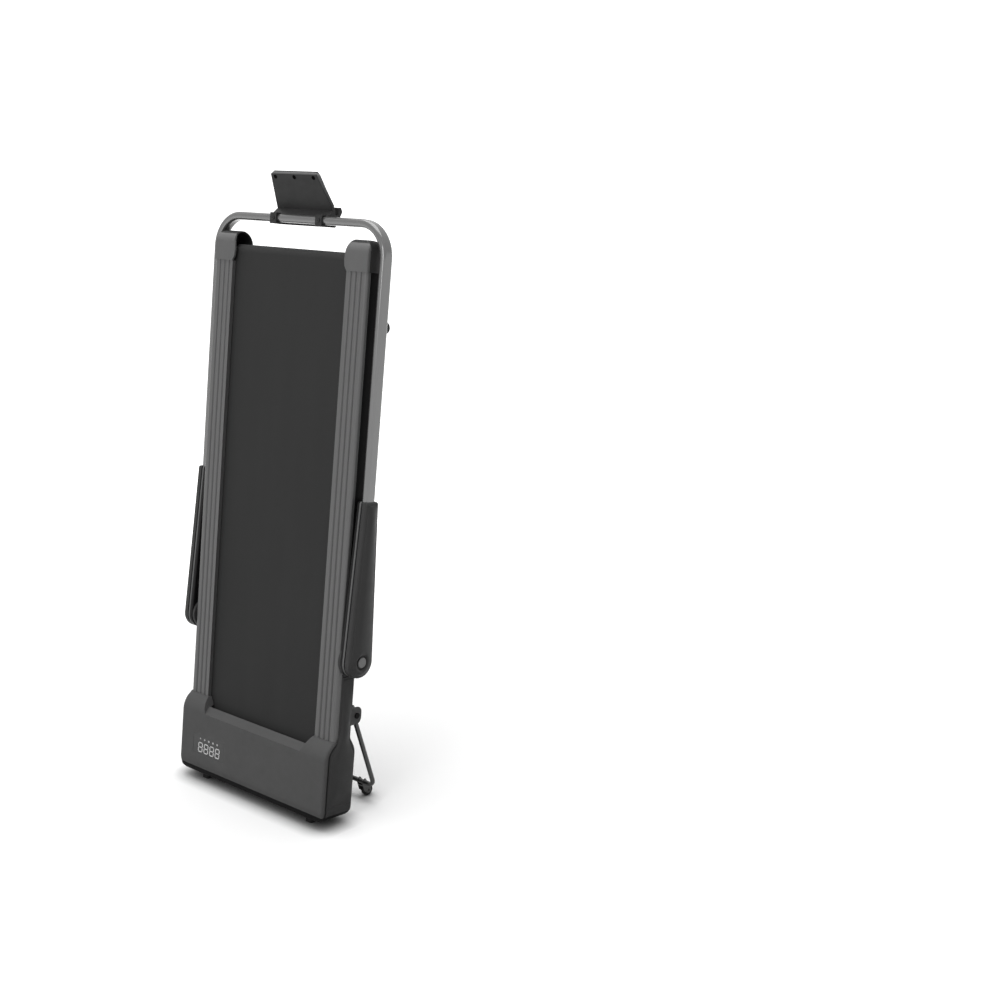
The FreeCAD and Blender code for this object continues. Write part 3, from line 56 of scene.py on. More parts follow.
# Crowned faces of the arm covers and of the housing's sides: heights, levels and edges, in metres
CROWN_SUNK = 0.0003
CROWN_COLUMNS = 24
ARM_CROWN = 0.0062
ARM_CREST = 0.36
ARM_LOW = 0.378
ARM_HIGH = 0.793
ARM_FADE_LOW = 0.012
ARM_FADE_HIGH = 0.03
ARM_EDGE = 0.0065
ARM_TOP = 0.800
ARM_TALL = 0.429
ARM_TOP_FRONT = 0.014
ARM_TOP_BACK = 0.055
ARM_FLARE_FRONT = 0.023
ARM_FLARE_BACK = 0.020
ARM_END_RADIUS = 0.0405
BOLT_CLEAR = 0.0145
BOLT_DIP = 0.008
SIDE_CROWN = 0.0065
SIDE_CREST = 0.28
SIDE_LOW = 0.038
SIDE_HIGH = 0.362
SIDE_FADE_LOW = 0.045
SIDE_FADE_HIGH = 0.12
SIDE_FRONT = -0.0073
SIDE_BACK = 0.0713
NECK_FRONT = 0.0185
NECK_BACK = 0.0505
NECK_FRONT_LEVELS = (0.150, 0.232)
NECK_BACK_LEVELS = (0.152, 0.212)

# Tablet cradle: edge of its plate, and the studs in its face, in metres
CRADLE_FOOT = Vector((0.0945, 0.0455, 1.4800))
CRADLE_SHOULDER = Vector((0.0785, 0.0045, 1.5500))
CRADLE_CORNER = 0.007
BEAD_RADIUS = 0.0042
STUD_PITCH = 0.066
STUD_Y = 0.00346
STUD_Z = 1.542
STUD_RINGS = ((0.0052, -0.0002), (0.0052, 0.0006), (0.0042, 0.0012), (0.0022, 0.0004))

# Display marks and the painted shade of the screw slots, in metres
PRINT_THICK = 0.0002
MARK_Z = 0.0975
MARK_RADIUS = 0.003
MARKS = ((-0.190, 3), (-0.1735, 4), (-0.157, 20), (-0.1405, 6), (-0.124, 5))
SLOT_Z = 0.060
SLOT_THICK = 0.00015

# Camera that took the photograph, in the row frame
CAMERA_AT = Vector((2.623, -2.3452, 1.6836))
CAMERA_YAW = math.radians(39.27)
CAMERA_PITCH = math.radians(14.808)
CAMERA_LENS = 52.105

# Studio dome: where it is brightest, the facings between which it changes, and its levels there
DOME_BRIGHT = (-0.62, -0.22, 0.75)
DOME_FACING = (-0.7, 1.0)
DOME_LEVEL = (0.05, 1.05)

# Studio floor: colours, its own light between two distances, and the reach and fall of the contact shadow
# painted into its colour and light
FLOOR_SEEN = (0.9, 0.9, 0.9, 1)
FLOOR_BOUNCE = (0.25, 0.25, 0.25, 1)
FLOOR_PAINTED_SHADOW = (0.02, 0.02, 0.02, 1)
FLOOR_AWAY = (0.5, 3.0)
FLOOR_LIFT = (0.1, 0.9)
CONTACT_REACH = 0.05
CONTACT_FALL = 1.3


# Colours

def tone(code):
    """Linear colour of a hex code as it looks on a screen."""
    parts = [int(code[i:i + 2], 16) / 255 for i in (1, 3, 5)]
    linear = [p / 12.92 if p <= 0.04045 else ((p + 0.055) / 1.055) ** 2.4 for p in parts]
    return (*linear, 1)


def shade(colour, factor):
    """The same colour, lighter or darker."""
    return (*[min(1, part * factor) for part in colour[:3]], 1)


# Node helpers

class Shader:
    """A material with a Principled shader, and short calls to link nodes to it."""

    def __init__(self, name):
        self.material = bpy.data.materials.new(name)
        self.material.use_nodes = True
        self.tree = self.material.node_tree
        self.tree.nodes.clear()
        self.output = self.node("ShaderNodeOutputMaterial")
        self.main = self.node("ShaderNodeBsdfPrincipled")
        self.link(self.main.outputs["BSDF"], self.output.inputs["Surface"])
        self.place = self.node("ShaderNodeTexCoord").outputs["Object"]
        self.height = None

    def node(self, kind, **values):
        """A node with some of its inputs or settings filled in."""
        made = self.tree.nodes.new(kind)
        for key, value in values.items():
            socket = key.replace("_", " ")
            if socket in made.inputs:
                made.inputs[socket].default_value = value
            else:
                setattr(made, key, value)
        return made

    def link(self, start, end):
        """Join two sockets."""
        self.tree.links.new(start, end)

    def set(self, **values):
        """Constant values on the Principled shader, with _ for a space in a socket's name."""
        for key, value in values.items():
            self.main.inputs[key.replace("_", " ")].default_value = value

    def deck_place(self, scale=(1, 1, 1)):
        """Coordinates along the leaning deck, stretched along its axes."""
        turned = self.node("ShaderNodeMapping", vector_type="TEXTURE")
        turned.inputs["Rotation"].default_value = (-LEAN, 0, 0)
        self.link(self.place, turned.inputs["Vector"])
        stretched = self.node("ShaderNodeMapping")
        stretched.inputs["Scale"].default_value = scale
        self.link(turned.outputs["Vector"], stretched.inputs["Vector"])
        return stretched.outputs["Vector"]

    def noise(self, scale, detail=2.0, place=None):
        """Noise with so many blobs to the metre."""
        made = self.node("ShaderNodeTexNoise", Scale=scale, Detail=detail)
        self.link(place or self.place, made.inputs["Vector"])
        return made.outputs["Fac"]

    def spread(self, source, low, high):
        """The middle of a noise stretched to a new range."""
        return self.ramp(source, 0.3, 0.7, low, high)

    def mix(self, amount, first, second):
        """A colour between two colours."""
        made = self.node("ShaderNodeMix", data_type="RGBA")
        self.link(amount, made.inputs["Factor"])
        for socket, value in ((made.inputs[6], first), (made.inputs[7], second)):
            if isinstance(value, bpy.types.NodeSocket):
                self.link(value, socket)
            else:
                socket.default_value = value
        return made.outputs[2]

    def ramp(self, source, start, end, low=0.0, high=1.0, kind="LINEAR"):
        """A value that goes from low to high while its source goes from start to end."""
        made = self.node("ShaderNodeMapRange", interpolation_type=kind)
        made.inputs["From Min"].default_value = start
        made.inputs["From Max"].default_value = end
        made.inputs["To Min"].default_value = low
        made.inputs["To Max"].default_value = high
        self.link(source, made.inputs["Value"])
        return made.outputs["Result"]

    def sideways(self):
        """Distance from the middle plane of the deck."""
        across = self.node("ShaderNodeSeparateXYZ")
        self.link(self.place, across.inputs["Vector"])
        away = self.node("ShaderNodeMath", operation="ABSOLUTE")
        self.link(across.outputs["X"], away.inputs[0])
        return away.outputs["Value"]

    def product(self, first, second):
        """Two values multiplied."""
        made = self.node("ShaderNodeMath", operation="MULTIPLY")
        self.link(first, made.inputs[0])
        self.link(second, made.inputs[1])
        return made.outputs["Value"]

    def split_tones(self, share, first_code, second_code, pale_first):
        """Two tones in one piece, the paler one with fainter flow marks. The end caps use it for two
        plastics, the inner arm covers for a dark plastic with a painted highlight.
        """
        flow = self.noise(14, 3)
        tones = []
        for code, pale in ((first_code, pale_first), (second_code, not pale_first)):
            vary = 0.06 if pale else 0.1
            tones.append(self.mix(flow, shade(tone(code), 1 - vary), shade(tone(code), 1 + vary)))
        self.colour(self.mix(share, *tones))

    def colour(self, socket):
        """Use a colour for the surface."""
        self.link(socket, self.main.inputs["Base Color"])

    def rough(self, socket):
        """Use a value for the roughness."""
        self.link(socket, self.main.inputs["Roughness"])

    def bump(self, socket, strength, depth):
        """Raise the surface by a value, on top of any earlier bump."""
        made = self.node("ShaderNodeBump", Strength=strength, Distance=depth)
        self.link(socket, made.inputs["Height"])
        if self.height is not None:
            self.link(self.height, made.inputs["Normal"])
        self.height = made.outputs["Normal"]
        self.link(self.height, self.main.inputs["Normal"])


# Materials

def moulded(name, code, rough=0.55, grain=1100, depth=0.00012, gloss=0.3):
    """Moulded plastic with a fine spark texture and faint flow marks."""
    made = Shader(name)
    base = tone(code)
    made.set(Specular_IOR_Level=gloss)
    made.colour(made.mix(made.noise(14, 3), shade(base, 0.92), shade(base, 1.08)))
    made.rough(made.spread(made.noise(60, 4), rough - 0.06, rough + 0.06))
    made.bump(made.noise(grain, 2), 0.35, depth)
    return made.material


def coated(name, code, rough=0.42, gloss=0.4, metal=0.0, vary=0.1, peel=420):
    """Powder-coated steel with a light orange-peel surface."""
    made = Shader(name)
    base = tone(code)
    made.set(Specular_IOR_Level=gloss, Metallic=metal)
    made.colour(made.mix(made.noise(25, 4), shade(base, 1 - vary), shade(base, 1 + vary)))
    made.rough(made.spread(made.noise(90, 3), rough - vary * 0.8, rough + vary * 0.8))
    made.bump(made.noise(peel, 3), 2 * vary, 0.00015)
    return made.material


def brushed(name, code, along=(900, 900, 12), rough=0.36, metal=0.85):
    """Metal with fine drawing lines that run along the deck."""
    made = Shader(name)
    base = tone(code)
    made.set(Metallic=metal)
    lines = made.noise(1.0, 3, made.deck_place(along))
    made.colour(made.mix(lines, shade(base, 0.82), shade(base, 1.16)))
    made.rough(made.spread(lines, rough - 0.07, rough + 0.09))
    made.bump(lines, 0.12, 0.00008)
    return made.material


def grooved(name, code):
    """Satin extrusion with painted shade in its grip grooves, which are darker than the ribs between them."""
    made = Shader(name)
    base = tone(code)
    made.set(Metallic=0.3)
    lines = made.noise(1.0, 3, made.deck_place((900, 900, 12)))
    start = GROOVE_FIRST - GROOVE_PITCH / 2
    steps = made.ramp(made.sideways(), start, start + 3 * GROOVE_PITCH, 0, 3)
    beat = made.node("ShaderNodeMath", operation="PINGPONG")
    beat.inputs[1].default_value = 0.5
    made.link(steps, beat.inputs[0])
    # Painted shade: the groove floors are darkened to about half the rib colour
    groove_shade = made.ramp(beat.outputs["Value"], 0.26, 0.46, kind="SMOOTHSTEP")
    rib = made.mix(lines, shade(base, 0.94), shade(base, 1.08))
    floor = made.mix(lines, shade(base, 0.42), shade(base, 0.5))
    made.colour(made.mix(groove_shade, rib, floor))
    made.rough(made.spread(lines, 0.42, 0.56))
    made.bump(lines, 0.12, 0.00008)
    return made.material


def edge_highlit(name, body_code, highlight_code):
    """Dark cover with a painted highlight, a paler band, along its outer edge."""
    made = Shader(name)
    # Painted highlight: the pale tone beyond this distance stands in for light on the cover's rounded edge
    highlit = made.ramp(made.sideways(), SLEEVE_HIGHLIGHT_EDGE - 0.0003, SLEEVE_HIGHLIGHT_EDGE + 0.0003)
    made.split_tones(highlit, body_code, highlight_code, False)
    made.set(Specular_IOR_Level=0.12)
    made.rough(made.spread(made.noise(60, 4), 0.4, 0.52))
    made.bump(made.noise(1100, 2), 0.35, 0.00012)
    return made.material


def rubber(name, code, rough=0.7):
    """Matte rubber with a dusty, slightly uneven face."""
    made = Shader(name)
    base = tone(code)
    made.set(Specular_IOR_Level=0.25)
    made.colour(made.mix(made.noise(45, 5), shade(base, 0.85), shade(base, 1.2)))
    made.rough(made.spread(made.noise(120, 3), rough - 0.08, rough + 0.08))
    made.bump(made.noise(700, 3), 0.3, 0.00015)
    return made.material


def belt_cover(name, code):
    """Belt face with a small diamond press and faint scuffs along the way of travel."""
    made = Shader(name)
    base = tone(code)
    made.set(Specular_IOR_Level=0.1)
    scuffs = made.noise(1.0, 4, made.deck_place((26, 26, 3)))
    made.colour(made.mix(scuffs, shade(base, 0.93), shade(base, 1.07)))
    made.rough(made.spread(scuffs, 0.6, 0.72))
    place = made.deck_place()
    waves = []
    for turn in (45, -45):
        turned = made.node("ShaderNodeMapping")
        turned.inputs["Rotation"].default_value = (0, math.radians(turn), 0)
        made.link(place, turned.inputs["Vector"])
        wave = made.node("ShaderNodeTexWave", Scale=105, Distortion=0.4)
        made.link(turned.outputs["Vector"], wave.inputs["Vector"])
        waves.append(wave.outputs["Fac"])
    made.bump(made.product(*waves), 0.35, 0.0003)
    return made.material


def board_wood(name):
    """Laminated board with a black film, through which the grain along the deck shows."""
    made = Shader(name)
    rings = made.noise(1.0, 5, made.deck_place((60, 60, 5)))
    made.colour(made.mix(rings, tone("#161412"), tone("#231f1b")))
    made.rough(made.spread(rings, 0.45, 0.65))
    made.bump(rings, 0.2, 0.0003)
    return made.material


def circuit_board(name):
    """Green board with copper runs under the mask."""
    made = Shader(name)
    runs = made.node("ShaderNodeTexBrick", Scale=160, Mortar_Size=0.02)
    made.link(made.place, runs.inputs["Vector"])
    made.colour(made.mix(runs.outputs["Fac"], tone("#0f4a26"), tone("#2f7a45")))
    made.rough(made.spread(made.noise(80), 0.3, 0.45))
    made.bump(runs.outputs["Fac"], 0.3, 0.0001)
    return made.material


def lit_segment(name, code):
    """White lit segments behind a smoked window."""
    made = Shader(name)
    glow = made.noise(300, 2)
    colour = made.mix(glow, shade(tone(code), 0.92), shade(tone(code), 1.08))
    made.colour(colour)
    made.link(colour, made.main.inputs["Emission Color"])
    made.set(Emission_Strength=0.25, Roughness=0.5)
    return made.material


def smoked_window(name, code):
    """Smoked window with a satin face."""
    made = Shader(name)
    base = tone(code)
    made.set(Specular_IOR_Level=0.35)
    made.colour(made.mix(made.noise(9), shade(base, 0.95), shade(base, 1.05)))
    made.rough(made.spread(made.noise(50, 3), 0.38, 0.48))
    made.bump(made.noise(900), 0.1, 0.00005)
    return made.material


def two_tone_cap(name, front_code, body_code):
    """End cap with a pale front plate and a dark body behind the groove."""
    made = Shader(name)
    split = made.node("ShaderNodeVectorMath", operation="DOT_PRODUCT")
    split.inputs[1].default_value = (0, math.cos(LEAN), -math.sin(LEAN))
    made.link(made.place, split.inputs[0])
    groove = CAP_GROOVE - ORIGIN_BACK * math.cos(LEAN) - LIFT * math.sin(LEAN)
    behind = made.ramp(split.outputs["Value"], groove - 0.0002, groove + 0.0002)
    made.split_tones(behind, front_code, body_code, True)
    made.set(Specular_IOR_Level=0.35)
    made.rough(made.spread(made.noise(60, 4), 0.48, 0.6))
    made.bump(made.noise(1100, 2), 0.35, 0.00012)
    return made.material


FRAME_BLACK = coated("frame_black", "#090909", gloss=0.04)
BAR_GREY = coated("bar_grey", "#4a4a4a", rough=0.5, gloss=0.3)
STAND_STEEL = coated("stand_steel", "#484848", rough=0.3, gloss=0.5, metal=0.5, vary=0.03, peel=60)
RAIL_GREY = grooved("rail_grey", "#5c5c5c")
CAP_GREY = two_tone_cap("cap_grey", "#606060", "#1c1c1c")
COVER_GREY = moulded("cover_grey", "#535353", rough=0.58, gloss=0.15)
# Side covers, side crowns and pivot brackets: the front cover's plastic, written darker than COVER_GREY as
# painted shade on the sides
SIDE_SHADED = moulded("side_shaded", "#404040", rough=0.45, gloss=0.1)
BELLY_DARK = moulded("belly_dark", "#1b1b1b", rough=0.45, gloss=0.2)
BUMPER_BLACK = moulded("bumper_black", "#0c0c0c", rough=0.5, gloss=0.06)
SLEEVE_DARK = moulded("sleeve_dark", "#3a3a3a", rough=0.4, gloss=0.14)
# Inner arm covers: near-black plastic with a painted highlight along the outer edge
SLEEVE_INNER = edge_highlit("sleeve_inner", "#121212", "#6a6a6a")
# Bead on the cradle's edge: paler than the cradle as a painted highlight on the rounded edge
CRADLE_EDGE_HIGHLIT = moulded("cradle_edge_highlit", "#606060", rough=0.4, gloss=0.2)
CRADLE_DARK = moulded("cradle_dark", "#333333", rough=0.5, gloss=0.15)
WINDOW_DARK = smoked_window("window_dark", "#3c3c3c")
TUBE_SILVER = coated("tube_silver", "#747474", rough=0.18, gloss=0.5, metal=0.55, vary=0.015, peel=60)
BELT_DARK = belt_cover("belt_dark", "#363636")
DRIVE_RUBBER = rubber("drive_rubber", "#202020")
FOOT_RUBBER = rubber("foot_rubber", "#171717")
WHEEL_RUBBER = rubber("wheel_rubber", "#1c1c1c", rough=0.55)
BOARD_WOOD = board_wood("board_wood")
BRIGHT_STEEL = brushed("bright_steel", "#b4b4b4", along=(500, 500, 500), rough=0.28, metal=1.0)
BOLT_DARK = coated("bolt_dark", "#2b2b2b", rough=0.35, gloss=0.5, metal=0.4)
BRACKET_GREY = coated("bracket_grey", "#4c4c4c", rough=0.45, gloss=0.2)
PIN_BLACK = coated("pin_black", "#0a0a0a", rough=0.5, gloss=0.06)
PIVOT_GREY = coated("pivot_grey", "#6e6e6e", rough=0.36, gloss=0.4, metal=0.2, vary=0.04)
SINK_METAL = brushed("sink_metal", "#a5a5a5", metal=1.0)
MOTOR_BLACK = coated("motor_black", "#262626")
CIRCUIT_GREEN = circuit_board("circuit_green")
SWITCH_BLACK = moulded("switch_black", "#0f0f0f", rough=0.3, grain=600, depth=0.00004, gloss=0.5)
ROCKER_RED = moulded("rocker_red", "#8c1414", rough=0.3, grain=600, depth=0.00004, gloss=0.5)
SEGMENT_WHITE = lit_segment("segment_white", "#bebebe")
MARK_GREY = lit_segment("mark_grey", "#a8a8a8")
# Black for the painted shade in the screw slots, and the black rubber of the cradle studs
SLOT_SHADE_AND_STUD_BLACK = moulded("slot_shade_and_stud_black", "#050505", rough=0.7, gloss=0.02)

FINISH = {
    BRACKET_GREY: ["left_stand_bracket", "right_stand_bracket"],
    FRAME_BLACK: ["left_frame_member", "right_frame_member", "strut_guide"],
    BAR_GREY: ["front_cross_bar", "rear_cross_bar"],
    STAND_STEEL: ["stand_frame", "wheel_forks", "stand_strut"],
    RAIL_GREY: ["left_foot_rail", "right_foot_rail"],
    CAP_GREY: ["left_end_cap", "right_end_cap"],
    COVER_GREY: ["motor_cover"],
    SIDE_SHADED: ["left_side_cover", "right_side_cover", "left_pivot_bracket", "right_pivot_bracket"],
    BELLY_DARK: ["belly_pan"],
    BUMPER_BLACK: ["end_bumper"],
    SLEEVE_DARK: ["left_arm_outer_cover", "right_arm_outer_cover"],
    SLEEVE_INNER: ["left_arm_inner_cover", "right_arm_inner_cover"],
    CRADLE_DARK: ["tablet_cradle", "cradle_clamps"],
    WINDOW_DARK: ["display_window"],
    TUBE_SILVER: ["handrail_tube"],
    BELT_DARK: ["running_belt"],
    DRIVE_RUBBER: ["drive_belt", "deck_cushions"],
    FOOT_RUBBER: ["rubber_feet", "end_feet"],
    WHEEL_RUBBER: ["left_stand_wheel", "right_stand_wheel"],
    BOARD_WOOD: ["running_board"],
    BRIGHT_STEEL: ["front_roller", "rear_roller", "front_bearings", "rear_bearings", "front_axle",
                   "rear_axle", "tension_bolts", "deck_bolts", "motor_rotor", "roller_pulley"],
    BOLT_DARK: ["clamp_screws", "housing_screws"],
    PIN_BLACK: ["stand_pins"],
    PIVOT_GREY: ["pivot_bolts"],
    SINK_METAL: ["heat_sink"],
    MOTOR_BLACK: ["motor_case", "motor_tray"],
    CIRCUIT_GREEN: ["controller_board", "display_board"],
    SWITCH_BLACK: ["mains_inlet", "switch_case"],
    ROCKER_RED: ["switch_rocker"],
}

# Edge rounding of moulded and pressed pieces, in metres
SOFT_EDGES = {
    0.0016: ["motor_cover", "left_side_cover", "right_side_cover", "left_end_cap", "right_end_cap"],
    0.0012: ["belly_pan", "end_bumper", "tablet_cradle", "cradle_clamps", "left_arm_inner_cover",
             "right_arm_inner_cover", "left_arm_outer_cover", "right_arm_outer_cover"],
    0.0006: ["front_cross_bar", "rear_cross_bar", "left_stand_bracket", "right_stand_bracket",
             "left_pivot_bracket", "right_pivot_bracket", "left_frame_member", "right_frame_member",
             "wheel_forks", "left_foot_rail", "right_foot_rail"],
}


def dress_nodes():
    """Give every carried-over node its material, and round the sharp edges that show."""
    for material, names in FINISH.items():
        for name in names:
            node = nodes[name]
            if not node.material_slots:
                node.data.materials.append(material)
            for slot in node.material_slots:
                slot.material = material
    for width, names in SOFT_EDGES.items():
        for name in names:
            bevel = nodes[name].modifiers.new("soft_edges", "BEVEL")
            bevel.width = width
            bevel.segments = 2
            bevel.limit_method = "ANGLE"
            bevel.angle_limit = math.radians(32)
            bevel.harden_normals = False


# New pieces

def piece(name, mesh, material, body):
    """Hang a finished mesh, drawn in the deck's frame, on a body."""
    data = bpy.data.meshes.new(name)
    mesh.transform(DECK)
    mesh.to_mesh(data)
    mesh.free()
    made = bpy.data.objects.new(name, data)
    bpy.context.scene.collection.objects.link(made)
    data.materials.append(material)
    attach(made, body)


def plate(mesh, outline, face, thick):
    """A thin plate on a face that looks along y: outline in x and z, raised towards the viewer's side."""
    front = [mesh.verts.new((x, face + thick, z)) for x, z in outline]
    back = [mesh.verts.new((x, face, z)) for x, z in outline]
    count = len(outline)
    mesh.faces.new(front)
    mesh.faces.new(back[::-1])
    for i in range(count):
        after = (i + 1) % count
        mesh.faces.new((front[i], back[i], back[after], front[after]))


def turns(count, start=0.0):
    """Angles of so many even steps round a circle."""
    return [start + 2 * math.pi * i / count for i in range(count)]


def mark_points(x, z, radius, sides):
    """Corners of a regular polygon in x and z, with one at its top."""
    return [(x + radius * math.cos(t), z + radius * math.sin(t)) for t in turns(sides, math.pi / 2)]


def segment_bar(x0, z0, x1, z1, half):
    """Outline of one lit bar with pointed ends."""
    along = Vector((x1 - x0, z1 - z0)).normalized()
    across = Vector((-along.y, along.x)) * half
    tip = along * half
    start = Vector((x0, z0)) + tip
    end = Vector((x1, z1)) - tip
    corners = [start - tip, start + across, end + across, end + tip, end - across, start - across]
    return [(c.x, c.y) for c in corners]


def build_digits():
    """Four seven-bar digits and five small marks above them."""
    left, pitch, wide = -0.1965, 0.0222, 0.0145
    low, high = 0.0625, 0.0865
    half = 0.0013
    slant = 0.0012
    gap = 0.0006
    middle = (low + high) / 2
    mesh = bmesh.new()
    for step in range(4):
        x0 = left + pitch * step
        x1 = x0 + wide
        bars = [(x0, low, x1, low), (x0, middle, x1, middle), (x0, high, x1, high),
                (x0, low, x0, middle), (x0, middle, x0, high), (x1, low, x1, middle), (x1, middle, x1, high)]
        for u0, v0, u1, v1 in bars:
            flat = v0 == v1
            outline = segment_bar(u0 + gap * flat, v0 + gap * (not flat), u1 - gap * flat,
                                  v1 - gap * (not flat), half)
            leaned = [(u + slant * (v - low) / (high - low), v) for u, v in outline]
            plate(mesh, leaned, WINDOW_FACE, -PRINT_THICK)
    piece("display_digits", mesh, SEGMENT_WHITE, "deck")

    marks = bmesh.new()
    for x, sides in MARKS:
        plate(marks, mark_points(x, MARK_Z, MARK_RADIUS, sides), WINDOW_FACE, -PRINT_THICK)
    piece("display_marks", marks, MARK_GREY, "deck")


def build_screw_slots():
    """Painted shade of the cross slots on the belly screws: thin black crosses on their heads."""
    mesh = bmesh.new()
    long, short = 0.0026, 0.0005
    face = BELLY_FACE + SCREW_HEAD
    for share in (-0.75, -0.45, 0.22, 0.56):
        x = HOUSE_HALF * share
        z = SLOT_Z
        cross = [(x - long, z - short), (x - short, z - short), (x - short, z - long), (x + short, z - long),
                 (x + short, z - short), (x + long, z - short), (x + long, z + short), (x + short, z + short),
                 (x + short, z + long), (x - short, z + long), (x - short, z + short), (x - long, z + short)]
        plate(mesh, cross, face, SLOT_THICK)
    piece("belly_screw_slot_shade", mesh, SLOT_SHADE_AND_STUD_BLACK, "deck")


def arm_edges(z):
    """Front and back bounds of the flat outer face of an arm cover at a level."""
    drop = (ARM_TOP - z) / ARM_TALL
    front = ARM_TOP_FRONT - ARM_FLARE_FRONT * drop + ARM_EDGE
    back = ARM_TOP_BACK + ARM_FLARE_BACK * drop - ARM_EDGE
    if z < PIVOT_Z:
        reach = ARM_END_RADIUS - ARM_EDGE
        chord = math.sqrt(max(0.0, reach ** 2 - (PIVOT_Z - z) ** 2))
        front = max(front, PIVOT_Y - chord)
        back = min(back, PIVOT_Y + chord)
    return front, back


def swell(across, crest):
    """Height of a crowned profile, from 0 at both edges to 1 at its crest."""
    reach = crest if across < crest else 1 - crest
    return 1 - ((across - crest) / reach) ** 2


def ease(value, start, end):
    """A smooth step from 0 at one value to 1 at another."""
    share = min(1, max(0, (value - start) / (end - start)))
    return share * share * (3 - 2 * share)


def arm_height(across, y, z):
    """Height of the crowned arm cover face, which dips round the pivot bolt."""
    round_bolt = math.hypot(y - PIVOT_Y, z - PIVOT_Z)
    dip = ease(round_bolt, BOLT_CLEAR, BOLT_CLEAR + BOLT_DIP)
    ends = min(1, (ARM_HIGH - z) / ARM_FADE_HIGH, (z - ARM_LOW) / ARM_FADE_LOW)
    return ARM_CROWN * swell(across, ARM_CREST) * max(0, ends) ** 0.5 * dip


def side_edges(z):
    """Front and back bounds of the flat face of a side cover at a level."""
    front = SIDE_FRONT + (NECK_FRONT - SIDE_FRONT) * ease(z, *NECK_FRONT_LEVELS)
    back = SIDE_BACK + (NECK_BACK - SIDE_BACK) * ease(z, *NECK_BACK_LEVELS)
    return front, back


def side_height(across, y, z):
    """Height of the crowned side cover face, which is flat at both ends."""
    rise = ease(z - SIDE_LOW, 0, SIDE_FADE_LOW) * ease(SIDE_HIGH - z, 0, SIDE_FADE_HIGH)
    return SIDE_CROWN * rise * swell(across, SIDE_CREST)


def near_bolt(vert):
    """Whether a point of an arm crown lies in the hole round the pivot bolt."""
    return math.hypot(vert.co.y - PIVOT_Y, vert.co.z - PIVOT_Z) < BOLT_CLEAR


def close_crown(mesh, grid, floor, hole=None):
    """Skin a grid of points, leave out its hole, and close it with walls and a flat floor."""
    for lower, upper in zip(grid, grid[1:]):
        for i in range(len(lower) - 1):
            corners = (lower[i], lower[i + 1], upper[i + 1], upper[i])
            if not (hole and any(hole(vert) for vert in corners)):
                mesh.faces.new(corners).smooth = True
    skin = list(mesh.faces)
    rims = [edge for edge in mesh.edges if len(edge.link_faces) == 1]
    foot = {}
    for vert in list(mesh.verts):
        if vert.link_faces:
            foot[vert] = mesh.verts.new((floor, vert.co.y, vert.co.z))
    for face in skin:
        mesh.faces.new([foot[vert] for vert in reversed(face.verts)])
    for edge in rims:
        one, two = edge.verts
        mesh.faces.new((one, two, foot[two], foot[one]))
    bmesh.ops.delete(mesh, geom=[vert for vert in mesh.verts if not vert.link_faces], context="VERTS")
    bmesh.ops.recalc_face_normals(mesh, faces=mesh.faces)


def crown(sign, face, low, high, rows, edges, height, hole=None):
    """Mesh of a crowned face on one side of the deck, between two levels."""
    mesh = bmesh.new()
    grid = []
    for row in range(rows + 1):
        z = low + (high - low) * row / rows
        front, back = edges(z)
        line = []
        for column in range(CROWN_COLUMNS + 1):
            across = column / CROWN_COLUMNS
            y = front + (back - front) * across
            line.append(mesh.verts.new((sign * (face + height(across, y, z)), y, z)))
        grid.append(line)
    close_crown(mesh, grid, sign * (face - CROWN_SUNK), hole)
    return mesh


def build_crowns():
    """Gently crowned outer faces of the arm covers and of the housing's side covers."""
    for side, sign in (("left", -1), ("right", 1)):
        mesh = crown(sign, ARM_FACE, ARM_LOW, ARM_HIGH, 120, arm_edges, arm_height, near_bolt)
        piece(side + "_arm_crown", mesh, SLEEVE_DARK, "handrail")
    for side, sign in (("left", -1), ("right", 1)):
        mesh = crown(sign, HOUSE_HALF, SIDE_LOW, SIDE_HIGH, 72, side_edges, side_height)
        piece(side + "_side_crown", mesh, SIDE_SHADED, "deck")


def skin_rings(mesh, rings):
    """Join rings of points to one closed skin."""
    mesh.faces.new(rings[0][::-1])
    for lower, upper in zip(rings, rings[1:]):
        for step in range(len(lower)):
            after = (step + 1) % len(lower)
            mesh.faces.new((lower[step], lower[after], upper[after], upper[step])).smooth = True
    mesh.faces.new(rings[-1])


def ring(mesh, middle, across, rise, radius, count):
    """Points of a circle round a middle, in the plane of two directions."""
    return [mesh.verts.new(middle + (across * math.cos(t) + rise * math.sin(t)) * radius)
            for t in turns(count)]


def bead(mesh, path, radius, count=12):
    """A round bead along a path of points, closed at both ends."""
    rings = []
    for i, spot in enumerate(path):
        ahead = (path[min(i + 1, len(path) - 1)] - path[max(i - 1, 0)]).normalized()
        side = ahead.cross(Vector((0, 1, 0))).normalized()
        rings.append(ring(mesh, spot, side, side.cross(ahead), radius, count))
    skin_rings(mesh, rings)


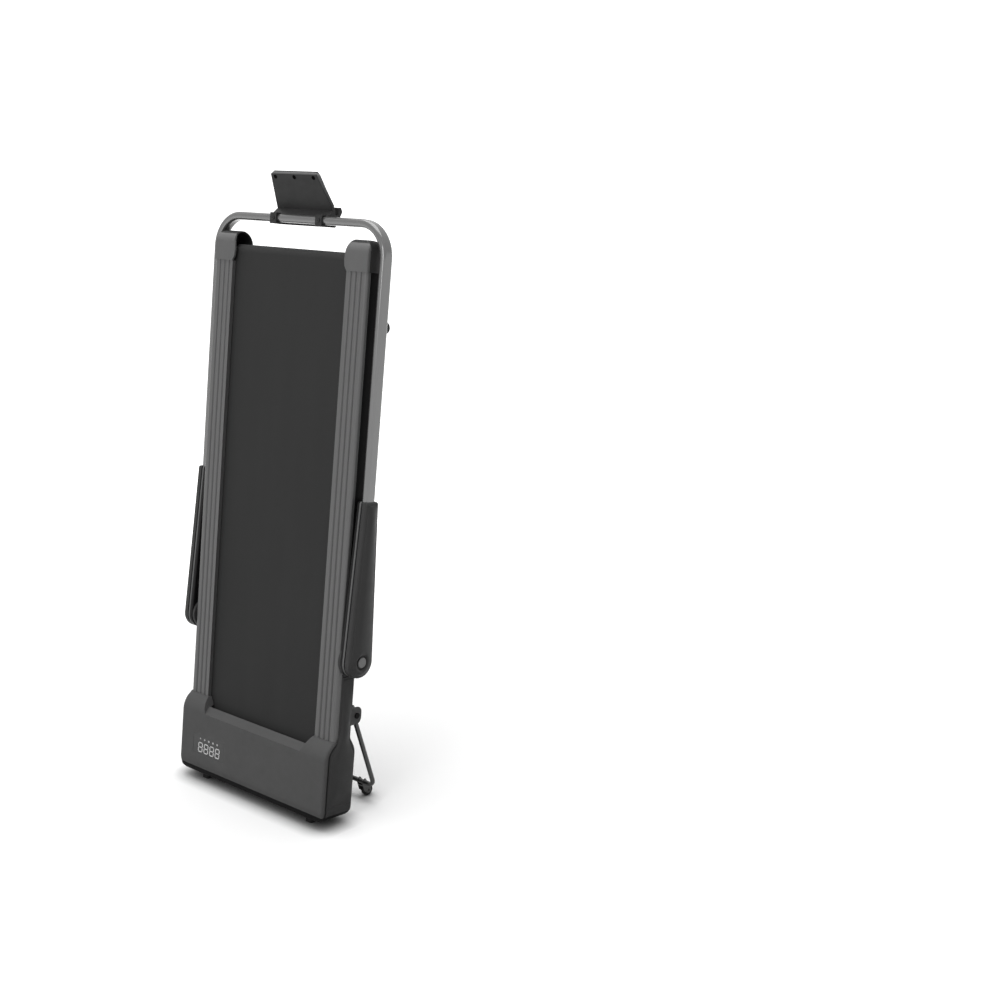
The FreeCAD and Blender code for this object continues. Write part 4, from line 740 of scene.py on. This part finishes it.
def build_cradle_trim():
    """Round bead on the edge of the tablet cradle, paler than the cradle as a painted highlight, and the
    rubber studs in its face.
    """
    along = (CRADLE_SHOULDER - CRADLE_FOOT).normalized()
    half = [CRADLE_FOOT, CRADLE_SHOULDER - along * CRADLE_CORNER]
    for step in range(1, 6):
        turn = math.radians(90 * step / 6)
        half.append(CRADLE_SHOULDER + Vector((-CRADLE_CORNER * (1 - math.cos(turn)), 0, 0))
                    - along * CRADLE_CORNER * (1 - math.sin(turn)))
    half.append(CRADLE_SHOULDER + Vector((-CRADLE_CORNER, 0, 0)))
    path = half + [Vector((-spot.x, spot.y, spot.z)) for spot in half[::-1]]
    mesh = bmesh.new()
    bead(mesh, path, BEAD_RADIUS)
    bmesh.ops.recalc_face_normals(mesh, faces=mesh.faces)
    piece("cradle_bead", mesh, CRADLE_EDGE_HIGHLIT, "handrail")

    studs = bmesh.new()
    across = Vector((1, 0, 0))
    rise = Vector((0, -0.5, 0.866))
    out = Vector((0, -0.866, -0.5))
    for step in (-1, 0, 1):
        middle = Vector((STUD_PITCH * step, STUD_Y, STUD_Z))
        skin_rings(studs, [ring(studs, middle + out * proud, across, rise, radius, 20)
                           for radius, proud in STUD_RINGS])
    bmesh.ops.recalc_face_normals(studs, faces=studs.faces)
    piece("cradle_studs", studs, SLOT_SHADE_AND_STUD_BLACK, "handrail")


# Studio

def background_rays(tree):
    """1 for the rays that see the white background: camera, glossy and transmission rays."""
    rays = tree.nodes.new("ShaderNodeLightPath")
    seen = rays.outputs["Is Camera Ray"]
    for other in ("Is Glossy Ray", "Is Transmission Ray"):
        either = tree.nodes.new("ShaderNodeMath")
        either.operation = "MAXIMUM"
        tree.links.new(seen, either.inputs[0])
        tree.links.new(rays.outputs[other], either.inputs[1])
        seen = either.outputs["Value"]
    return seen


def studio_floor():
    """A wide pale floor with a rising rim. It keeps the shadow, has a contact shadow painted into its colour
    and its own light near the object, and goes white away from the object.
    """
    mesh = bmesh.new()
    rings = [(6, 0), (30, 0), (34, 0.4), (37, 1.6), (39, 3.6), (40, 7)]
    count = 64
    before = [mesh.verts.new((0, 0, 0))] * count
    for radius, height in rings:
        now = [mesh.verts.new((radius * math.cos(t), radius * math.sin(t), height)) for t in turns(count)]
        for i in range(count):
            after = (i + 1) % count
            corners = [before[i], now[i], now[after]]
            if before[after] is not before[i]:
                corners.append(before[after])
            mesh.faces.new(corners).smooth = True
        before = now
    data = bpy.data.meshes.new("floor")
    mesh.to_mesh(data)
    mesh.free()
    floor = bpy.data.objects.new("floor", data)
    bpy.context.scene.collection.objects.link(floor)
    made = Shader("floor_white")
    made.set(Roughness=0.9, Specular_IOR_Level=0.0, Emission_Color=(1, 1, 1, 1))
    seen = background_rays(made.tree)
    # Painted contact shadow: occlusion darkens the floor's colour and its own light near the object
    near = made.node("ShaderNodeAmbientOcclusion", samples=8)
    near.inputs["Distance"].default_value = CONTACT_REACH
    painted_shadow = made.node("ShaderNodeMath", operation="POWER")
    painted_shadow.inputs[1].default_value = CONTACT_FALL
    made.link(near.outputs["AO"], painted_shadow.inputs[0])
    pale = made.mix(seen, FLOOR_BOUNCE, FLOOR_SEEN)
    made.colour(made.mix(painted_shadow.outputs["Value"], FLOOR_PAINTED_SHADOW, pale))
    away = made.node("ShaderNodeVectorMath", operation="LENGTH")
    made.link(made.place, away.inputs[0])
    fade = made.ramp(away.outputs["Value"], *FLOOR_AWAY, *FLOOR_LIFT, "SMOOTHSTEP")
    lift = made.product(made.product(seen, fade), painted_shadow.outputs["Value"])
    made.link(lift, made.main.inputs["Emission Strength"])
    data.materials.append(made.material)


def studio_world():
    """A soft dome, brighter above and on the left. The camera, metal and glass see it as white."""
    world = bpy.data.worlds.new("studio")
    bpy.context.scene.world = world
    world.use_nodes = True
    tree = world.node_tree
    tree.nodes.clear()
    output = tree.nodes.new("ShaderNodeOutputWorld")
    dome = tree.nodes.new("ShaderNodeBackground")
    dome.inputs["Color"].default_value = (1, 1, 1, 1)
    place = tree.nodes.new("ShaderNodeTexCoord")
    facing = tree.nodes.new("ShaderNodeVectorMath")
    facing.operation = "DOT_PRODUCT"
    facing.inputs[1].default_value = DOME_BRIGHT
    tree.links.new(place.outputs["Generated"], facing.inputs[0])
    level = tree.nodes.new("ShaderNodeMapRange")
    level.inputs["From Min"].default_value = DOME_FACING[0]
    level.inputs["From Max"].default_value = DOME_FACING[1]
    level.inputs["To Min"].default_value = DOME_LEVEL[0]
    level.inputs["To Max"].default_value = DOME_LEVEL[1]
    tree.links.new(facing.outputs["Value"], level.inputs["Value"])
    tree.links.new(level.outputs["Result"], dome.inputs["Strength"])
    white = tree.nodes.new("ShaderNodeBackground")
    white.inputs["Color"].default_value = (1, 1, 1, 1)
    white.inputs["Strength"].default_value = 1.0
    choice = tree.nodes.new("ShaderNodeMixShader")
    tree.links.new(background_rays(tree), choice.inputs["Fac"])
    tree.links.new(dome.outputs["Background"], choice.inputs[1])
    tree.links.new(white.outputs["Background"], choice.inputs[2])
    tree.links.new(choice.outputs["Shader"], output.inputs["Surface"])


def soft_box(name, at, aim, wide, tall, power):
    """A soft studio lamp that looks at a point."""
    lamp = bpy.data.lights.new(name, "AREA")
    lamp.shape = "RECTANGLE"
    lamp.size = wide
    lamp.size_y = tall
    lamp.energy = power
    made = bpy.data.objects.new(name, lamp)
    made.location = at
    made.rotation_mode = "QUATERNION"
    made.rotation_quaternion = (Vector(aim) - Vector(at)).to_track_quat("-Z", "Y")
    bpy.context.scene.collection.objects.link(made)


def studio_light():
    """An overhead box and a key from the front, a little to the right."""
    soft_box("overhead", at=(-0.2, 0.2, 4.2), aim=(0, 0, 0.6), wide=3.2, tall=3.2, power=90)
    soft_box("key", at=(1.0, -4.2, 2.6), aim=(0, 0, 0.8), wide=1.6, tall=1.6, power=40)


def photo_camera():
    """The camera of the photograph."""
    data = bpy.data.cameras.new("camera")
    data.lens = CAMERA_LENS
    data.sensor_width = 36
    data.clip_end = 100
    camera = bpy.data.objects.new("camera", data)
    level = math.cos(CAMERA_PITCH)
    ahead = Vector((-math.sin(CAMERA_YAW) * level, math.cos(CAMERA_YAW) * level, -math.sin(CAMERA_PITCH)))
    camera.location = CAMERA_AT
    camera.rotation_mode = "QUATERNION"
    camera.rotation_quaternion = ahead.to_track_quat("-Z", "Y")
    bpy.context.scene.collection.objects.link(camera)
    bpy.context.scene.camera = camera


bpy.context.scene.view_settings.view_transform = "Standard"
dress_nodes()
build_digits()
build_screw_slots()
build_crowns()
build_cradle_trim()
studio_floor()
studio_world()
studio_light()
photo_camera()
